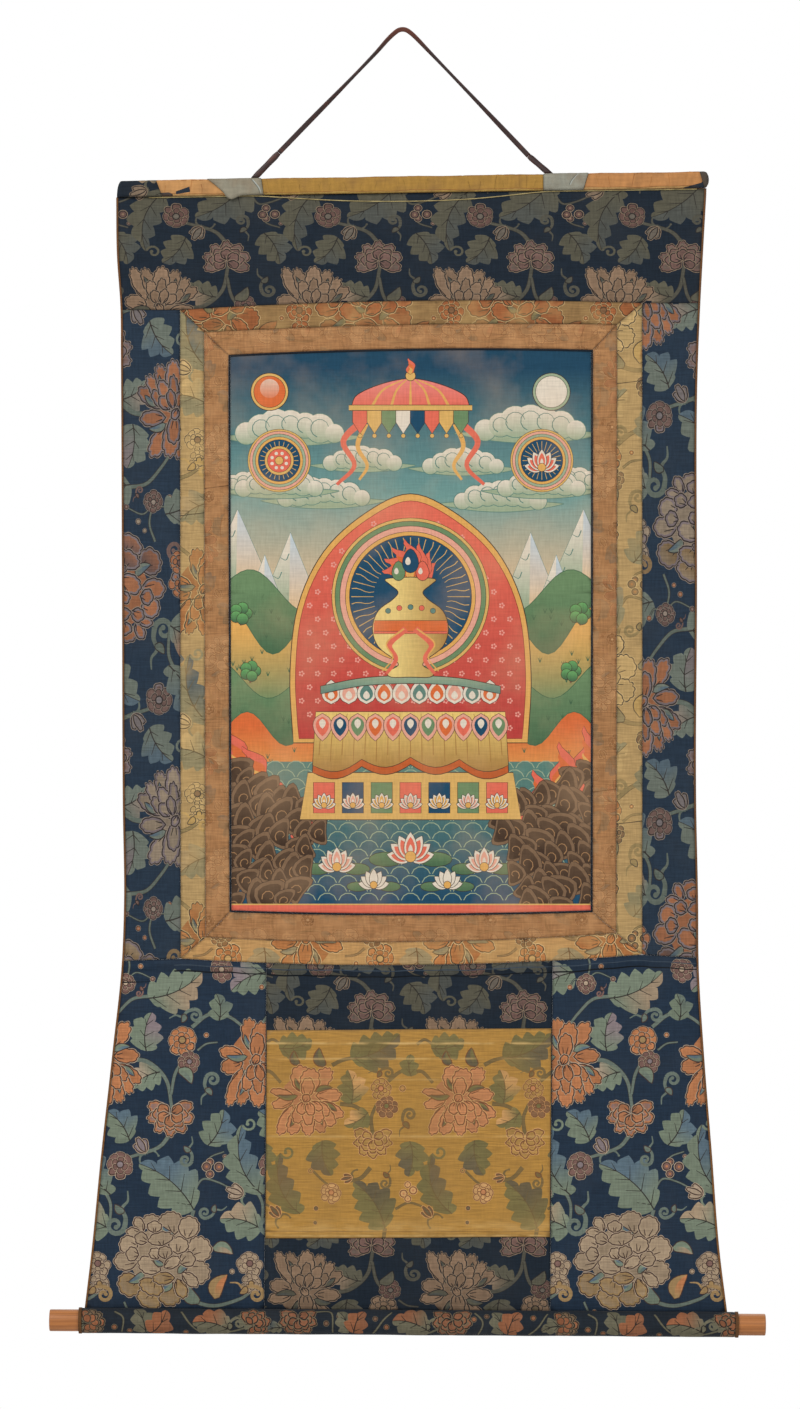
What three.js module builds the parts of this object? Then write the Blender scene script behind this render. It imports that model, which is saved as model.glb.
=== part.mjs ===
// Hanging scroll painting: a painted cotton panel framed by two mitred silk borders, mounted on
// patterned brocade, hung from a silk-wrapped stave by a flat strap and weighted by a wooden roller.
// Millimetres, +X to the viewer's right, +Y away from the viewer, +Z up.
// The origin is the point under the strap's top bend, where a wall hook carries it.
import * as THREE from "three";
import { mergeVertices } from "three/addons/utils/BufferGeometryUtils.js";

// Cloth and clearances
const CLOTH = 1.6; // brocade panels and borders
const CANVAS = 1.2; // the painted cotton
const SEAM_GAP = 0.4; // between two pieces that are sewn edge to edge
const SEAT = 0.3; // between a piece and what it lies on or hangs from
const BINDING_WIDTH = 2.6;
const BINDING_THICKNESS = 2.6;
const PIPING_WIDTH = 2.4;
const PIPING_THICKNESS = 2.2;

// Stave at the head, seen from the front
const STAVE = { left: -357, right: 383, height: 20.5, midX: 13, midZ: -190.7, tilt: 0.9 };
const STAVE_DEPTH = { front: 6.5, back: 4.5, corner: 3.5 };
const PATCH_PROUD = 0.9; // how far the grey patches stand out over the other wraps

// Roller at the foot
const ROLLER = { left: -440.5, right: 453, midX: 6, midZ: -1612.3, y: -6, tilt: -0.36 };
const ROD = { diameter: 27, chamfer: 1.2 };
const SLEEVE = { left: -400, right: 415, outer: 31.4, inner: 27.8 };
const SLEEVE_BINDING = { width: 4, outer: 33 };
const ROUND_SIDES = 28;

// Outline of the hung cloth: the side edges at heights below the hook
const OUTLINE = [
  { z: -200, left: -358, right: 380 },
  { z: -279, left: -357, right: 375.5 },
  { z: -345, left: -352.5, right: 372 },
  { z: -404, left: -352, right: 369.5 },
  { z: -716, left: -350.5, right: 368 },
  { z: -966, left: -349.5, right: 367 },
  { z: -1091, left: -348, right: 369.5 },
  { z: -1160, left: -350.5, right: 370 },
  { z: -1279, left: -363, right: 377 },
  { z: -1404, left: -377, right: 387 },
  { z: -1529, left: -389.5, right: 397 },
  { z: -1600, left: -398, right: 406 },
];

// Nested rectangles of the borders: corners, and how far the top and bottom edges bow up at the middle
const GOLD_OUTER = {
  topLeft: [-278, -347.5], topRight: [299.5, -339], bottomLeft: [-277, -1158], bottomRight: [299.5, -1153],
  topBow: 7, bottomBow: -10.5,
};
const COPPER_OUTER = {
  topLeft: [-248, -375.5], topRight: [268, -366], bottomLeft: [-246, -1131], bottomRight: [267, -1126],
  topBow: 4.7, bottomBow: -8.5,
};
const PIPING_OUTER = {
  topLeft: [-217.5, -404], topRight: [238, -397.5], bottomLeft: [-216, -1100], bottomRight: [237.5, -1100],
  topBow: 4.6, bottomBow: -4,
};

// Lower part of the mount
const FOOT_SEAM_LEFT = -1161; // height of the seam at the left edge
const FOOT_SEAM_RIGHT = -1157.5;
const CENTRE_SEAMS = { leftTop: -170, leftBottom: -173, rightTop: 187.5, rightBottom: 184.5 };
const DOOR = { topLeft: -1247.5, topRight: -1245, bottomLeft: -1508, bottomRight: -1506 };
const DOOR_INSET = 1; // from the centre panel's side seams
const DOOR_THICKNESS = 1.2;

// How the cloth hangs: distances towards the viewer
const HANG = { top: -201, foot: -1597, axis: 10, halfWidth: 380, belly: 7, footBack: 2, curl: 5, flute: 3.2 };
const FLUTES = [
  { wave: 262, shift: -40, share: 0.65 },
  { wave: 171, shift: 55, share: 0.35 },
];
const FLUTE_START = 0.6; // share of the drop where the lower cloth begins to flute
const FLUTE_FULL = 0.8;
const FLUTE_END = 0.93; // below it the roller draws the cloth straight
const FOOT_FOLDS = [
  { name: "roll", below: 7, width: 5.5, rise: 1.3 },
  { name: "tuck", below: 15, width: 4.5, rise: -2.1 },
];

// Flat strap: its route over the hook, chosen by hand, with the turn of its face about its own line
const STRAP = { width: 6.4, thickness: 2.2 };
const STRAP_ROUTE = [
  { x: -154.5, z: -151, turn: 15 },
  { x: -138.5, z: -134.5, turn: 20 },
  { x: -120, z: -115.4, turn: 28 },
  { x: -100, z: -95, turn: 40 },
  { x: -80, z: -74.6, turn: 55 },
  { x: -60, z: -54, turn: 68 },
  { x: -44, z: -37.4, turn: 66 },
  { x: -31, z: -23.6, turn: 58 },
  { x: -20, z: -11, turn: 50 },
  { x: -11.5, z: -2.6, turn: 44 },
  { x: -4, z: 2.6, turn: 40 },
  { x: 4, z: 2.7, turn: 40 },
  { x: 11.5, z: -2.2, turn: 44 },
  { x: 20, z: -10.4, turn: 50 },
  { x: 31, z: -22, turn: 60 },
  { x: 46, z: -37.6, turn: 70 },
  { x: 64, z: -56.4, turn: 72 },
  { x: 84, z: -77.3, turn: 64 },
  { x: 106, z: -100.4, turn: 50 },
  { x: 126, z: -121.5, turn: 34 },
  { x: 143, z: -139.4, turn: 22 },
  { x: 157.5, z: -154.7, turn: 15 },
];
const WHIPPING = { width: 8, thickness: 5, sides: 10, turn: 15, footLeft: -185, footRight: 183 };
const WHIPPING_SWELLS = [
  { share: 0, swell: 0.85 },
  { share: 0.12, swell: 1 },
  { share: 0.5, swell: 0.92 },
  { share: 0.85, swell: 1 },
  { share: 1, swell: 0.8 },
];

// Fine tie string under the stave: how far it hangs below the stave's lower edge
const STRING_RADIUS = 0.7;
const STRING_SIDES = 8;
const STRING_STEPS = 36;
const STRING_ROUTE = [
  { x: -317, drop: 0.4 },
  { x: -266, drop: 0.4 },
  { x: -218, drop: 0.4 },
  { x: -182, drop: 0.5 },
  { x: -128, drop: 4.5 },
  { x: -97, drop: 6.7 },
  { x: -66, drop: 8.4 },
  { x: -32, drop: 9.5 },
  { x: 3, drop: 10 },
  { x: 30, drop: 9.9 },
  { x: 59, drop: 9.4 },
  { x: 91, drop: 8 },
  { x: 122, drop: 5.6 },
  { x: 152, drop: 2.8 },
  { x: 182, drop: 0.6 },
  { x: 234, drop: 0.4 },
  { x: 297, drop: 0.4 },
  { x: 368, drop: 0.4 },
];

// Small helpers
const mix = THREE.MathUtils.lerp;
const smooth = THREE.MathUtils.smoothstep;
const rise = (degrees) => Math.tan(THREE.MathUtils.degToRad(degrees));

// A column of a table read at any key, on a smooth curve through its rows.
function readTable(rows, key, column, at) {
  const up = rows[1][key] > rows[0][key];
  const ordered = up ? rows : [...rows].reverse();
  const keys = ordered.map((row) => row[key]);
  const values = ordered.map((row) => row[column]);
  const inside = THREE.MathUtils.clamp(at, keys[0], keys.at(-1));
  return new THREE.CubicInterpolant(keys, values, 1).evaluate(inside)[0];
}

const leftEdge = (z) => readTable(OUTLINE, "z", "left", z);
const rightEdge = (z) => readTable(OUTLINE, "z", "right", z);

// A border rectangle's four edges as functions: top and bottom give z at x, left and right give x at z.
function edgesOf(frame) {
  const across = (from, to, bow) => (x) => {
    const share = THREE.MathUtils.clamp((x - from[0]) / (to[0] - from[0]), 0, 1);
    return mix(from[1], to[1], share) + bow * 4 * share * (1 - share);
  };
  const down = (from, to) => (z) => mix(from[0], to[0], (z - from[1]) / (to[1] - from[1]));
  return {
    top: across(frame.topLeft, frame.topRight, frame.topBow),
    bottom: across(frame.bottomLeft, frame.bottomRight, frame.bottomBow),
    left: down(frame.topLeft, frame.bottomLeft),
    right: down(frame.topRight, frame.bottomRight),
  };
}

const gold = edgesOf(GOLD_OUTER);
const copper = edgesOf(COPPER_OUTER);
const piping = edgesOf(PIPING_OUTER);
const canvas = {
  top: (x) => piping.top(x) - PIPING_WIDTH,
  bottom: (x) => piping.bottom(x) + PIPING_WIDTH,
  left: (z) => piping.left(z) + PIPING_WIDTH,
  right: (z) => piping.right(z) - PIPING_WIDTH,
};

const staveMid = (x) => STAVE.midZ + (x - STAVE.midX) * rise(STAVE.tilt);
const staveFoot = (x) => staveMid(x) - STAVE.height / 2;
const rollerMid = (x) => ROLLER.midZ + (x - ROLLER.midX) * rise(ROLLER.tilt);

// Where the cloth lands on the roller's sleeve, behind its crown
const LANDING = Math.sqrt((SLEEVE.outer / 2) ** 2 - (HANG.footBack - CLOTH / 2 - ROLLER.y) ** 2) + SEAT;
const clothHead = (x) => staveFoot(x) - SEAT;
const clothFoot = (x) => rollerMid(x) + LANDING;

// The seam under the painting, from one side edge to the other
function footSeam(x) {
  if (x < GOLD_OUTER.bottomLeft[0]) {
    const share = (x - leftEdge(FOOT_SEAM_LEFT)) / (GOLD_OUTER.bottomLeft[0] - leftEdge(FOOT_SEAM_LEFT));
    return mix(FOOT_SEAM_LEFT, GOLD_OUTER.bottomLeft[1], share);
  }
  if (x > GOLD_OUTER.bottomRight[0]) {
    const share = (x - GOLD_OUTER.bottomRight[0]) / (rightEdge(FOOT_SEAM_RIGHT) - GOLD_OUTER.bottomRight[0]);
    return mix(GOLD_OUTER.bottomRight[1], FOOT_SEAM_RIGHT, share);
  }
  return gold.bottom(x);
}

const centreLine = (top, bottom) => (z) =>
  mix(top, bottom, (z - GOLD_OUTER.bottomLeft[1]) / (HANG.foot - GOLD_OUTER.bottomLeft[1]));
const centreLeft = centreLine(CENTRE_SEAMS.leftTop, CENTRE_SEAMS.leftBottom);
const centreRight = centreLine(CENTRE_SEAMS.rightTop, CENTRE_SEAMS.rightBottom);

// Depth of the hung cloth's middle surface at a place, +Y away from the viewer.
function hangDepth(x, z) {
  const drop = THREE.MathUtils.clamp((HANG.top - z) / (HANG.top - HANG.foot), 0, 1);
  const side = (x - HANG.axis) / HANG.halfWidth;
  const swell = Math.sin(Math.PI * drop);
  const fluting = smooth(drop, FLUTE_START, FLUTE_FULL) * (1 - smooth(drop, FLUTE_END, 1));
  const below = footSeam(x) - z;
  let flutes = 0;
  for (const { wave, shift, share } of FLUTES) {
    flutes += share * Math.cos((2 * Math.PI * (x - shift)) / wave);
  }
  let folds = 0;
  for (const fold of FOOT_FOLDS) {
    folds += fold.rise * Math.exp(-(((below - fold.below) / fold.width) ** 2));
  }
  const towards = HANG.belly * swell - HANG.curl * swell * side ** 6 + HANG.flute * fluting * flutes;
  return HANG.footBack * drop ** 4 - towards - (below > 0 ? folds : 0);
}

// A closed geometry from a grid of front points and the matching grid of back points.
function closedGrid(front, back) {
  const rows = front.length;
  const columns = front[0].length;
  const points = [...front.flat(), ...back.flat()];
  const at = (side, row, column) => side * rows * columns + row * columns + column;
  const index = [];
  const quad = (a, b, c, d) => index.push(a, b, c, a, c, d);
  for (let r = 0; r + 1 < rows; r++) {
    for (let c = 0; c + 1 < columns; c++) {
      quad(at(0, r, c), at(0, r + 1, c), at(0, r + 1, c + 1), at(0, r, c + 1));
      quad(at(1, r, c), at(1, r, c + 1), at(1, r + 1, c + 1), at(1, r + 1, c));
    }
  }
  const rim = [];
  for (let c = 0; c < columns; c++) rim.push([0, c]);
  for (let r = 1; r < rows; r++) rim.push([r, columns - 1]);
  for (let c = columns - 2; c >= 0; c--) rim.push([rows - 1, c]);
  for (let r = rows - 2; r > 0; r--) rim.push([r, 0]);
  rim.forEach(([r, c], i) => {
    const [nextRow, nextColumn] = rim[(i + 1) % rim.length];
    quad(at(0, r, c), at(0, nextRow, nextColumn), at(1, nextRow, nextColumn), at(1, r, c));
  });
  const geometry = new THREE.BufferGeometry().setFromPoints(points);
  geometry.setIndex(index);
  geometry.computeVertexNormals();
  return geometry;
}

// Shares from 0 to 1: even steps, after an optional run of finer ones at the start.
function stations(count, fineShare = 0, fineCount = 0) {
  const fine = Array.from({ length: fineCount }, (_, i) => (fineShare * i) / fineCount);
  const even = Array.from({ length: count + 1 }, (_, i) => mix(fineShare, 1, i / count));
  return [...fine, ...even];
}

// Grid of a narrow strip: many steps along it and one across
function stripGrid(side) {
  const lies = side === "top" || side === "bottom";
  return lies ? { across: stations(14), down: stations(1) } : { across: stations(1), down: stations(18) };
}

// A sheet of cloth between four edges, on the hang; lift moves its middle towards the viewer.
function sheetGeometry({ left, right, top, bottom, across, down, thickness = CLOTH, lift = 0 }) {
  const half = SEAM_GAP / 2;
  const place = (s, t) => {
    let z = mix(top(0), bottom(0), t);
    let x = 0;
    for (let pass = 0; pass < 4; pass++) {
      x = mix(left(z) + half, right(z) - half, s);
      z = mix(top(x) - half, bottom(x) + half, t);
    }
    return [x, z];
  };
  const side = (offset) =>
    down.map((t) =>
      across.map((s) => {
        const [x, z] = place(s, t);
        return new THREE.Vector3(x, hangDepth(x, z) - lift + offset, z);
      }),
    );
  return closedGrid(side(-thickness / 2), side(thickness / 2));
}

// A closed solid through a row of rings, each a loop of points; the ends are capped by fans.
function loftGeometry(rings) {
  const sides = rings[0].length;
  const points = rings.flat();
  const index = [];
  for (let r = 0; r + 1 < rings.length; r++) {
    for (let i = 0; i < sides; i++) {
      const a = r * sides + i;
      const b = r * sides + ((i + 1) % sides);
      index.push(a, b, b + sides, a, b + sides, a + sides);
    }
  }
  const last = (rings.length - 1) * sides;
  for (let i = 1; i + 1 < sides; i++) {
    index.push(0, i + 1, i);
    index.push(last, last + i, last + i + 1);
  }
  const geometry = new THREE.BufferGeometry().setFromPoints(points);
  geometry.setIndex(index);
  geometry.computeVertexNormals();
  return geometry;
}

// Finishes
const finish = (color, roughness = 0.85) =>
  new THREE.MeshStandardMaterial({ color, roughness, metalness: 0 });
const FINISHES = {
  paintedCotton: finish(0x8f9a78, 0.8),
  navyBrocade: finish(0x22374f),
  goldBrocade: finish(0xb08d45, 0.7),
  copperSilk: finish(0x9a6b42, 0.7),
  darkPiping: finish(0x1b222b),
  brownBinding: finish(0x6b4a2c),
  doorBrocade: finish(0xb98a36, 0.65),
  yellowSilk: finish(0xc09a4a, 0.6),
  orangeSilk: finish(0xd08a4e, 0.6),
  greySilk: finish(0x8c918c, 0.7),
  pine: finish(0xb97f4b, 0.55),
  strapLeather: finish(0x3a2220, 0.6),
  tieString: finish(0xb7a468, 0.8),
};

const scroll = new THREE.Group();

function addPiece(name, geometry, material) {
  const mesh = new THREE.Mesh(geometry, material);
  mesh.name = name;
  scroll.add(mesh);
  return mesh;
}

// The painting and the piping that edges it
function addPainting() {
  addPiece(
    "painting",
    sheetGeometry({ ...canvas, across: stations(12), down: stations(16), thickness: CANVAS }),
    FINISHES.paintedCotton,
  );
  const strips = {
    top: { ...piping, bottom: canvas.top },
    bottom: { ...piping, top: canvas.bottom },
    left: { left: piping.left, right: canvas.left, top: canvas.top, bottom: canvas.bottom },
    right: { left: canvas.right, right: piping.right, top: canvas.top, bottom: canvas.bottom },
  };
  for (const [side, edges] of Object.entries(strips)) {
    const geometry = sheetGeometry({ ...edges, ...stripGrid(side), thickness: PIPING_THICKNESS });
    addPiece("piping_" + side, geometry, FINISHES.darkPiping);
  }
}

// Four mitred strips between an outer and an inner rectangle
function addBorder(name, outerFrame, innerFrame, material) {
  const outer = edgesOf(outerFrame);
  const inner = edgesOf(innerFrame);
  const mitre = (corner) => {
    const [fromX, fromZ] = outerFrame[corner];
    const [toX, toZ] = innerFrame[corner];
    return {
      xAt: (z) => mix(fromX, toX, (z - fromZ) / (toZ - fromZ)),
      zAt: (x) => mix(fromZ, toZ, (x - fromX) / (toX - fromX)),
    };
  };
  const topLeft = mitre("topLeft");
  const topRight = mitre("topRight");
  const bottomLeft = mitre("bottomLeft");
  const bottomRight = mitre("bottomRight");
  const strips = {
    top: { top: outer.top, bottom: inner.top, left: topLeft.xAt, right: topRight.xAt },
    bottom: { top: inner.bottom, bottom: outer.bottom, left: bottomLeft.xAt, right: bottomRight.xAt },
    left: { left: outer.left, right: inner.left, top: topLeft.zAt, bottom: bottomLeft.zAt },
    right: { left: inner.right, right: outer.right, top: topRight.zAt, bottom: bottomRight.zAt },
  };
  for (const [side, edges] of Object.entries(strips)) {
    addPiece(name + "_" + side, sheetGeometry({ ...edges, ...stripGrid(side) }), material);
  }
}

// The brocade mount: head panel, side panels, three foot panels and the door patch on the middle one
function addMount() {
  const boundLeft = (z) => leftEdge(z) + BINDING_WIDTH;
  const boundRight = (z) => rightEdge(z) - BINDING_WIDTH;
  const sideGrid = { top: gold.top, bottom: footSeam, across: stations(3), down: stations(18) };
  const footGrid = { top: footSeam, bottom: clothFoot, down: stations(11, 0.07, 7) };
  const headGrid = { top: clothHead, bottom: gold.top, across: stations(16), down: stations(4) };
  const panels = {
    head_panel: { left: boundLeft, right: boundRight, ...headGrid },
    side_panel_left: { left: boundLeft, right: gold.left, ...sideGrid },
    side_panel_right: { left: gold.right, right: boundRight, ...sideGrid },
    foot_panel_left: { left: boundLeft, right: centreLeft, ...footGrid, across: stations(8) },
    foot_panel_centre: { left: centreLeft, right: centreRight, ...footGrid, across: stations(12) },
    foot_panel_right: { left: centreRight, right: boundRight, ...footGrid, across: stations(8) },
  };
  for (const [name, edges] of Object.entries(panels)) {
    addPiece(name, sheetGeometry(edges), FINISHES.navyBrocade);
  }
  const doorEdge = (leftZ, rightZ) => (x) =>
    mix(leftZ, rightZ, (x - CENTRE_SEAMS.leftTop) / (CENTRE_SEAMS.rightTop - CENTRE_SEAMS.leftTop));
  const door = sheetGeometry({
    left: (z) => centreLeft(z) + DOOR_INSET,
    right: (z) => centreRight(z) - DOOR_INSET,
    top: doorEdge(DOOR.topLeft, DOOR.topRight),
    bottom: doorEdge(DOOR.bottomLeft, DOOR.bottomRight),
    across: stations(12),
    down: stations(9),
    thickness: DOOR_THICKNESS,
    lift: CLOTH / 2 + SEAT + DOOR_THICKNESS / 2,
  });
  addPiece("door_patch", door, FINISHES.doorBrocade);
}

// Tape folded over each side edge of the cloth, from the stave to the roller
function addBindings() {
  const sides = {
    left: { left: leftEdge, right: (z) => leftEdge(z) + BINDING_WIDTH },
    right: { left: (z) => rightEdge(z) - BINDING_WIDTH, right: rightEdge },
  };
  for (const [side, edges] of Object.entries(sides)) {
    const grid = { across: stations(1), down: stations(36), thickness: BINDING_THICKNESS };
    const geometry = sheetGeometry({ ...edges, top: clothHead, bottom: clothFoot, ...grid });
    addPiece("binding_" + side, geometry, FINISHES.brownBinding);
  }
}

// One loop of the wrapped stave's section, flat at the back and rounded in front; slant leans it sideways.
function staveRing(x, slant, proud) {
  const top = STAVE.height / 2 + proud;
  const foot = -STAVE.height / 2;
  const front = -STAVE_DEPTH.front - proud;
  const round = STAVE_DEPTH.corner + proud;
  const outline = new THREE.Shape();
  outline.moveTo(STAVE_DEPTH.back, foot);
  outline.lineTo(STAVE_DEPTH.back, top);
  outline.lineTo(front + round, top);
  outline.quadraticCurveTo(front, top, front, top - round);
  outline.lineTo(front, foot + round);
  outline.quadraticCurveTo(front, foot, front + round, foot);
  const loop = outline.getPoints(4);
  return loop.map(({ x: y, y: height }) => {
    const along = x + slant * (height / STAVE.height);
    return new THREE.Vector3(along, y, staveMid(along) + height);
  });
}

// The stave's wraps in order along it; a slant is how far a cut end leans to the viewer's right at its top
const WRAPS = [
  { name: "stave_end_left", from: STAVE.left, slantFrom: 0, to: -304, slantTo: -8, silk: "navyBrocade" },
  { name: "wrap_orange_left", from: -304, slantFrom: -8, to: -231, slantTo: -24, silk: "orangeSilk" },
  { name: "patch_grey_left", from: -231, slantFrom: -24, to: -175, slantTo: -3, silk: "greySilk" },
  { name: "wrap_yellow", from: -175, slantFrom: -3, to: 176, slantTo: 0, silk: "yellowSilk" },
  { name: "patch_grey_right", from: 176, slantFrom: 0, to: 229, slantTo: 6, silk: "greySilk" },
  { name: "wrap_orange_right", from: 229, slantFrom: 6, to: 374, slantTo: -6, silk: "orangeSilk" },
  { name: "stave_end_right", from: 374, slantFrom: -6, to: STAVE.right, slantTo: 0, silk: "brownBinding" },
];

function addStave() {
  for (const { name, from, slantFrom, to, slantTo, silk } of WRAPS) {
    const proud = silk === "greySilk" ? PATCH_PROUD : 0;
    const rings = [
      staveRing(from + SEAM_GAP / 2, slantFrom, proud),
      staveRing(to - SEAM_GAP / 2, slantTo, proud),
    ];
    addPiece(name, loftGeometry(rings), FINISHES[silk]);
  }
}

// A turned piece about the roller's own axis, from a profile of distances along and out from it
function turned(profile) {
  const points = profile.map(([along, radius]) => new THREE.Vector2(radius, along));
  const geometry = new THREE.LatheGeometry(points, ROUND_SIDES);
  geometry.deleteAttribute("normal");
  geometry.deleteAttribute("uv");
  return mergeVertices(geometry, 1e-4);
}

function addRoller() {
  const axis = new THREE.Group();
  axis.position.set(ROLLER.midX, ROLLER.y, ROLLER.midZ);
  axis.rotation.set(0, THREE.MathUtils.degToRad(-ROLLER.tilt), 0);
  scroll.add(axis);
  const addTurned = (name, profile, material) => {
    const mesh = addPiece(name, turned(profile), material);
    mesh.rotation.z = -Math.PI / 2;
    axis.add(mesh);
  };
  const tube = (from, to, inner, outer) => [
    [from, inner], [from, outer], [to, outer], [to, inner], [from, inner],
  ];
  const left = ROLLER.left - ROLLER.midX;
  const right = ROLLER.right - ROLLER.midX;
  const radius = ROD.diameter / 2;
  const rod = [
    [left, 0], [left, radius - ROD.chamfer], [left + ROD.chamfer, radius],
    [right - ROD.chamfer, radius], [right, radius - ROD.chamfer], [right, 0],
  ];
  addTurned("roller_rod", rod, FINISHES.pine);
  const sleeveLeft = SLEEVE.left - ROLLER.midX;
  const sleeveRight = SLEEVE.right - ROLLER.midX;
  const sleeve = tube(sleeveLeft, sleeveRight, SLEEVE.inner / 2, SLEEVE.outer / 2);
  addTurned("roller_sleeve", sleeve, FINISHES.navyBrocade);
  const ends = {
    left: [sleeveLeft - SEAM_GAP - SLEEVE_BINDING.width, sleeveLeft - SEAM_GAP],
    right: [sleeveRight + SEAM_GAP, sleeveRight + SEAM_GAP + SLEEVE_BINDING.width],
  };
  for (const [side, [from, to]] of Object.entries(ends)) {
    const profile = tube(from, to, SLEEVE.inner / 2, SLEEVE_BINDING.outer / 2);
    addTurned("sleeve_binding_" + side, profile, FINISHES.brownBinding);
  }
}

// One loop of a flat or oval section across a line that runs in the XZ plane, turned about that line
function strapRing(centre, along, width, thickness, turn, corners) {
  const sideways = new THREE.Vector3(along.z, 0, -along.x);
  const depth = new THREE.Vector3(0, 1, 0);
  const angle = THREE.MathUtils.degToRad(turn);
  const wide = sideways.clone().multiplyScalar(Math.cos(angle)).addScaledVector(depth, Math.sin(angle));
  const thin = depth.clone().multiplyScalar(Math.cos(angle)).addScaledVector(sideways, -Math.sin(angle));
  return corners.map(([u, v]) =>
    centre.clone().addScaledVector(wide, (u * width) / 2).addScaledVector(thin, (v * thickness) / 2),
  );
}

const FLAT_CORNERS = [[1, -0.4], [1, 0.4], [0.8, 1], [-0.8, 1], [-1, 0.4], [-1, -0.4], [-0.8, -1], [0.8, -1]];

function addStrap() {
  const line = STRAP_ROUTE.map(({ x, z }) => new THREE.Vector3(x, 0, z));
  const rings = line.map((point, i) => {
    const along = line[Math.min(i + 1, line.length - 1)].clone().sub(line[Math.max(i - 1, 0)]).normalize();
    return strapRing(point, along, STRAP.width, STRAP.thickness, STRAP_ROUTE[i].turn, FLAT_CORNERS);
  });
  addPiece("hanging_strap", loftGeometry(rings), FINISHES.strapLeather);
  addWhipping("left", line[0], WHIPPING.footLeft);
  addWhipping("right", line.at(-1), WHIPPING.footRight);
}

// The bound end of the strap, from the stave's top up to the strap proper; its foot is cut level to sit there
function addWhipping(side, strapEnd, footX) {
  const oval = Array.from({ length: WHIPPING.sides }, (_, i) => {
    const angle = (2 * Math.PI * i) / WHIPPING.sides;
    return [Math.cos(angle), Math.sin(angle)];
  });
  const seatAt = (x) => staveMid(x) + STAVE.height / 2 + PATCH_PROUD + SEAT;
  const foot = new THREE.Vector3(footX, 0, seatAt(footX));
  const along = strapEnd.clone().sub(foot).normalize();
  const end = strapEnd.clone().addScaledVector(along, -SEAT);
  const rings = WHIPPING_SWELLS.map(({ share, swell }) => {
    const centre = foot.clone().lerp(end, share);
    return strapRing(centre, along, WHIPPING.width * swell, WHIPPING.thickness * swell, WHIPPING.turn, oval);
  });
  for (const point of rings[0]) {
    point.addScaledVector(along, (seatAt(point.x) - point.z) / along.z);
  }
  addPiece("strap_whipping_" + side, loftGeometry(rings), FINISHES.strapLeather);
}

function addTieString() {
  const route = STRING_ROUTE.map(({ x, drop }) => {
    const z = staveFoot(x) - drop - STRING_RADIUS;
    return new THREE.Vector3(x, hangDepth(x, z) - CLOTH / 2 - SEAT - STRING_RADIUS, z);
  });
  const section = new THREE.Shape(
    Array.from({ length: STRING_SIDES }, (_, i) => {
      const angle = (2 * Math.PI * i) / STRING_SIDES;
      return new THREE.Vector2(STRING_RADIUS * Math.cos(angle), STRING_RADIUS * Math.sin(angle));
    }),
  );
  const geometry = new THREE.ExtrudeGeometry(section, {
    steps: STRING_STEPS,
    extrudePath: new THREE.CatmullRomCurve3(route),
  });
  addPiece("tie_string", geometry, FINISHES.tieString);
}

addPainting();
addBorder("copper_border", COPPER_OUTER, PIPING_OUTER, FINISHES.copperSilk);
addBorder("gold_border", GOLD_OUTER, COPPER_OUTER, FINISHES.goldBrocade);
addMount();
addBindings();
addStave();
addRoller();
addStrap();
addTieString();

export default scroll;
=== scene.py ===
"""Looks of a hanging scroll painting: a painted cotton panel in silk borders on a brocade mount.

Sizes are millimetres in the frame of the solids: x to the viewer's right, y away from the viewer, z up,
with the origin under the strap's top bend. A drawing on cloth holds its points as complex numbers x + iz.
Meshes are made in metres.
"""

import logging
import math
from dataclasses import dataclass, field
from enum import Enum
from typing import Callable, NamedTuple, Optional, Sequence

import bpy
import numpy as np
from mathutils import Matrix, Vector, geometry


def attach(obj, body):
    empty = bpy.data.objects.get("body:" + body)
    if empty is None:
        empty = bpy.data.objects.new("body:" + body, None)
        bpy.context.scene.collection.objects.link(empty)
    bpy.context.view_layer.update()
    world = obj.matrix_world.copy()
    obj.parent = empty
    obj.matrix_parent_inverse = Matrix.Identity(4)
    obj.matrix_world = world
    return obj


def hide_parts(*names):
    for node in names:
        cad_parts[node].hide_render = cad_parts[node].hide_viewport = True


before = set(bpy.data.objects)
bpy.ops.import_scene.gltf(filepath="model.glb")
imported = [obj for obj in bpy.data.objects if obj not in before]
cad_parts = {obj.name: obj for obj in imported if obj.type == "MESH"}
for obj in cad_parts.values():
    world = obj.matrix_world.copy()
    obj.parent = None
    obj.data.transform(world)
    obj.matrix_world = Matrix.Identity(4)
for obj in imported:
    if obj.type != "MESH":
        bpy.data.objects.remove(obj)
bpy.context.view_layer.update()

log = logging.getLogger("scroll")
MM = 0.001
BODY = "root"
CLOTH_MAP = "cloth"
THREAD_COLOUR = "thread"

Points = np.ndarray
Edge = Callable[[np.ndarray], np.ndarray]


def linear(hex_code: str) -> tuple[float, float, float, float]:
    """Turn an sRGB hex colour into linear values.

    Args:
        hex_code: six hex digits.

    Returns:
        Linear red, green, blue and an alpha of one.
    """
    shares = [int(hex_code[i:i + 2], 16) / 255 for i in (0, 2, 4)]
    red, green, blue = (s / 12.92 if s <= 0.04045 else ((s + 0.055) / 1.055) ** 2.4 for s in shares)
    return red, green, blue, 1.0


# The cloth as it hangs


class EdgeRow(NamedTuple):
    """Side edges of the hung cloth at one height."""

    z: float
    left: float
    right: float


OUTLINE = (
    EdgeRow(-200, -358, 380),
    EdgeRow(-279, -357, 375.5),
    EdgeRow(-345, -352.5, 372),
    EdgeRow(-404, -352, 369.5),
    EdgeRow(-716, -350.5, 368),
    EdgeRow(-966, -349.5, 367),
    EdgeRow(-1091, -348, 369.5),
    EdgeRow(-1160, -350.5, 370),
    EdgeRow(-1279, -363, 377),
    EdgeRow(-1404, -377, 387),
    EdgeRow(-1529, -389.5, 397),
    EdgeRow(-1600, -398, 406),
)


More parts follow.
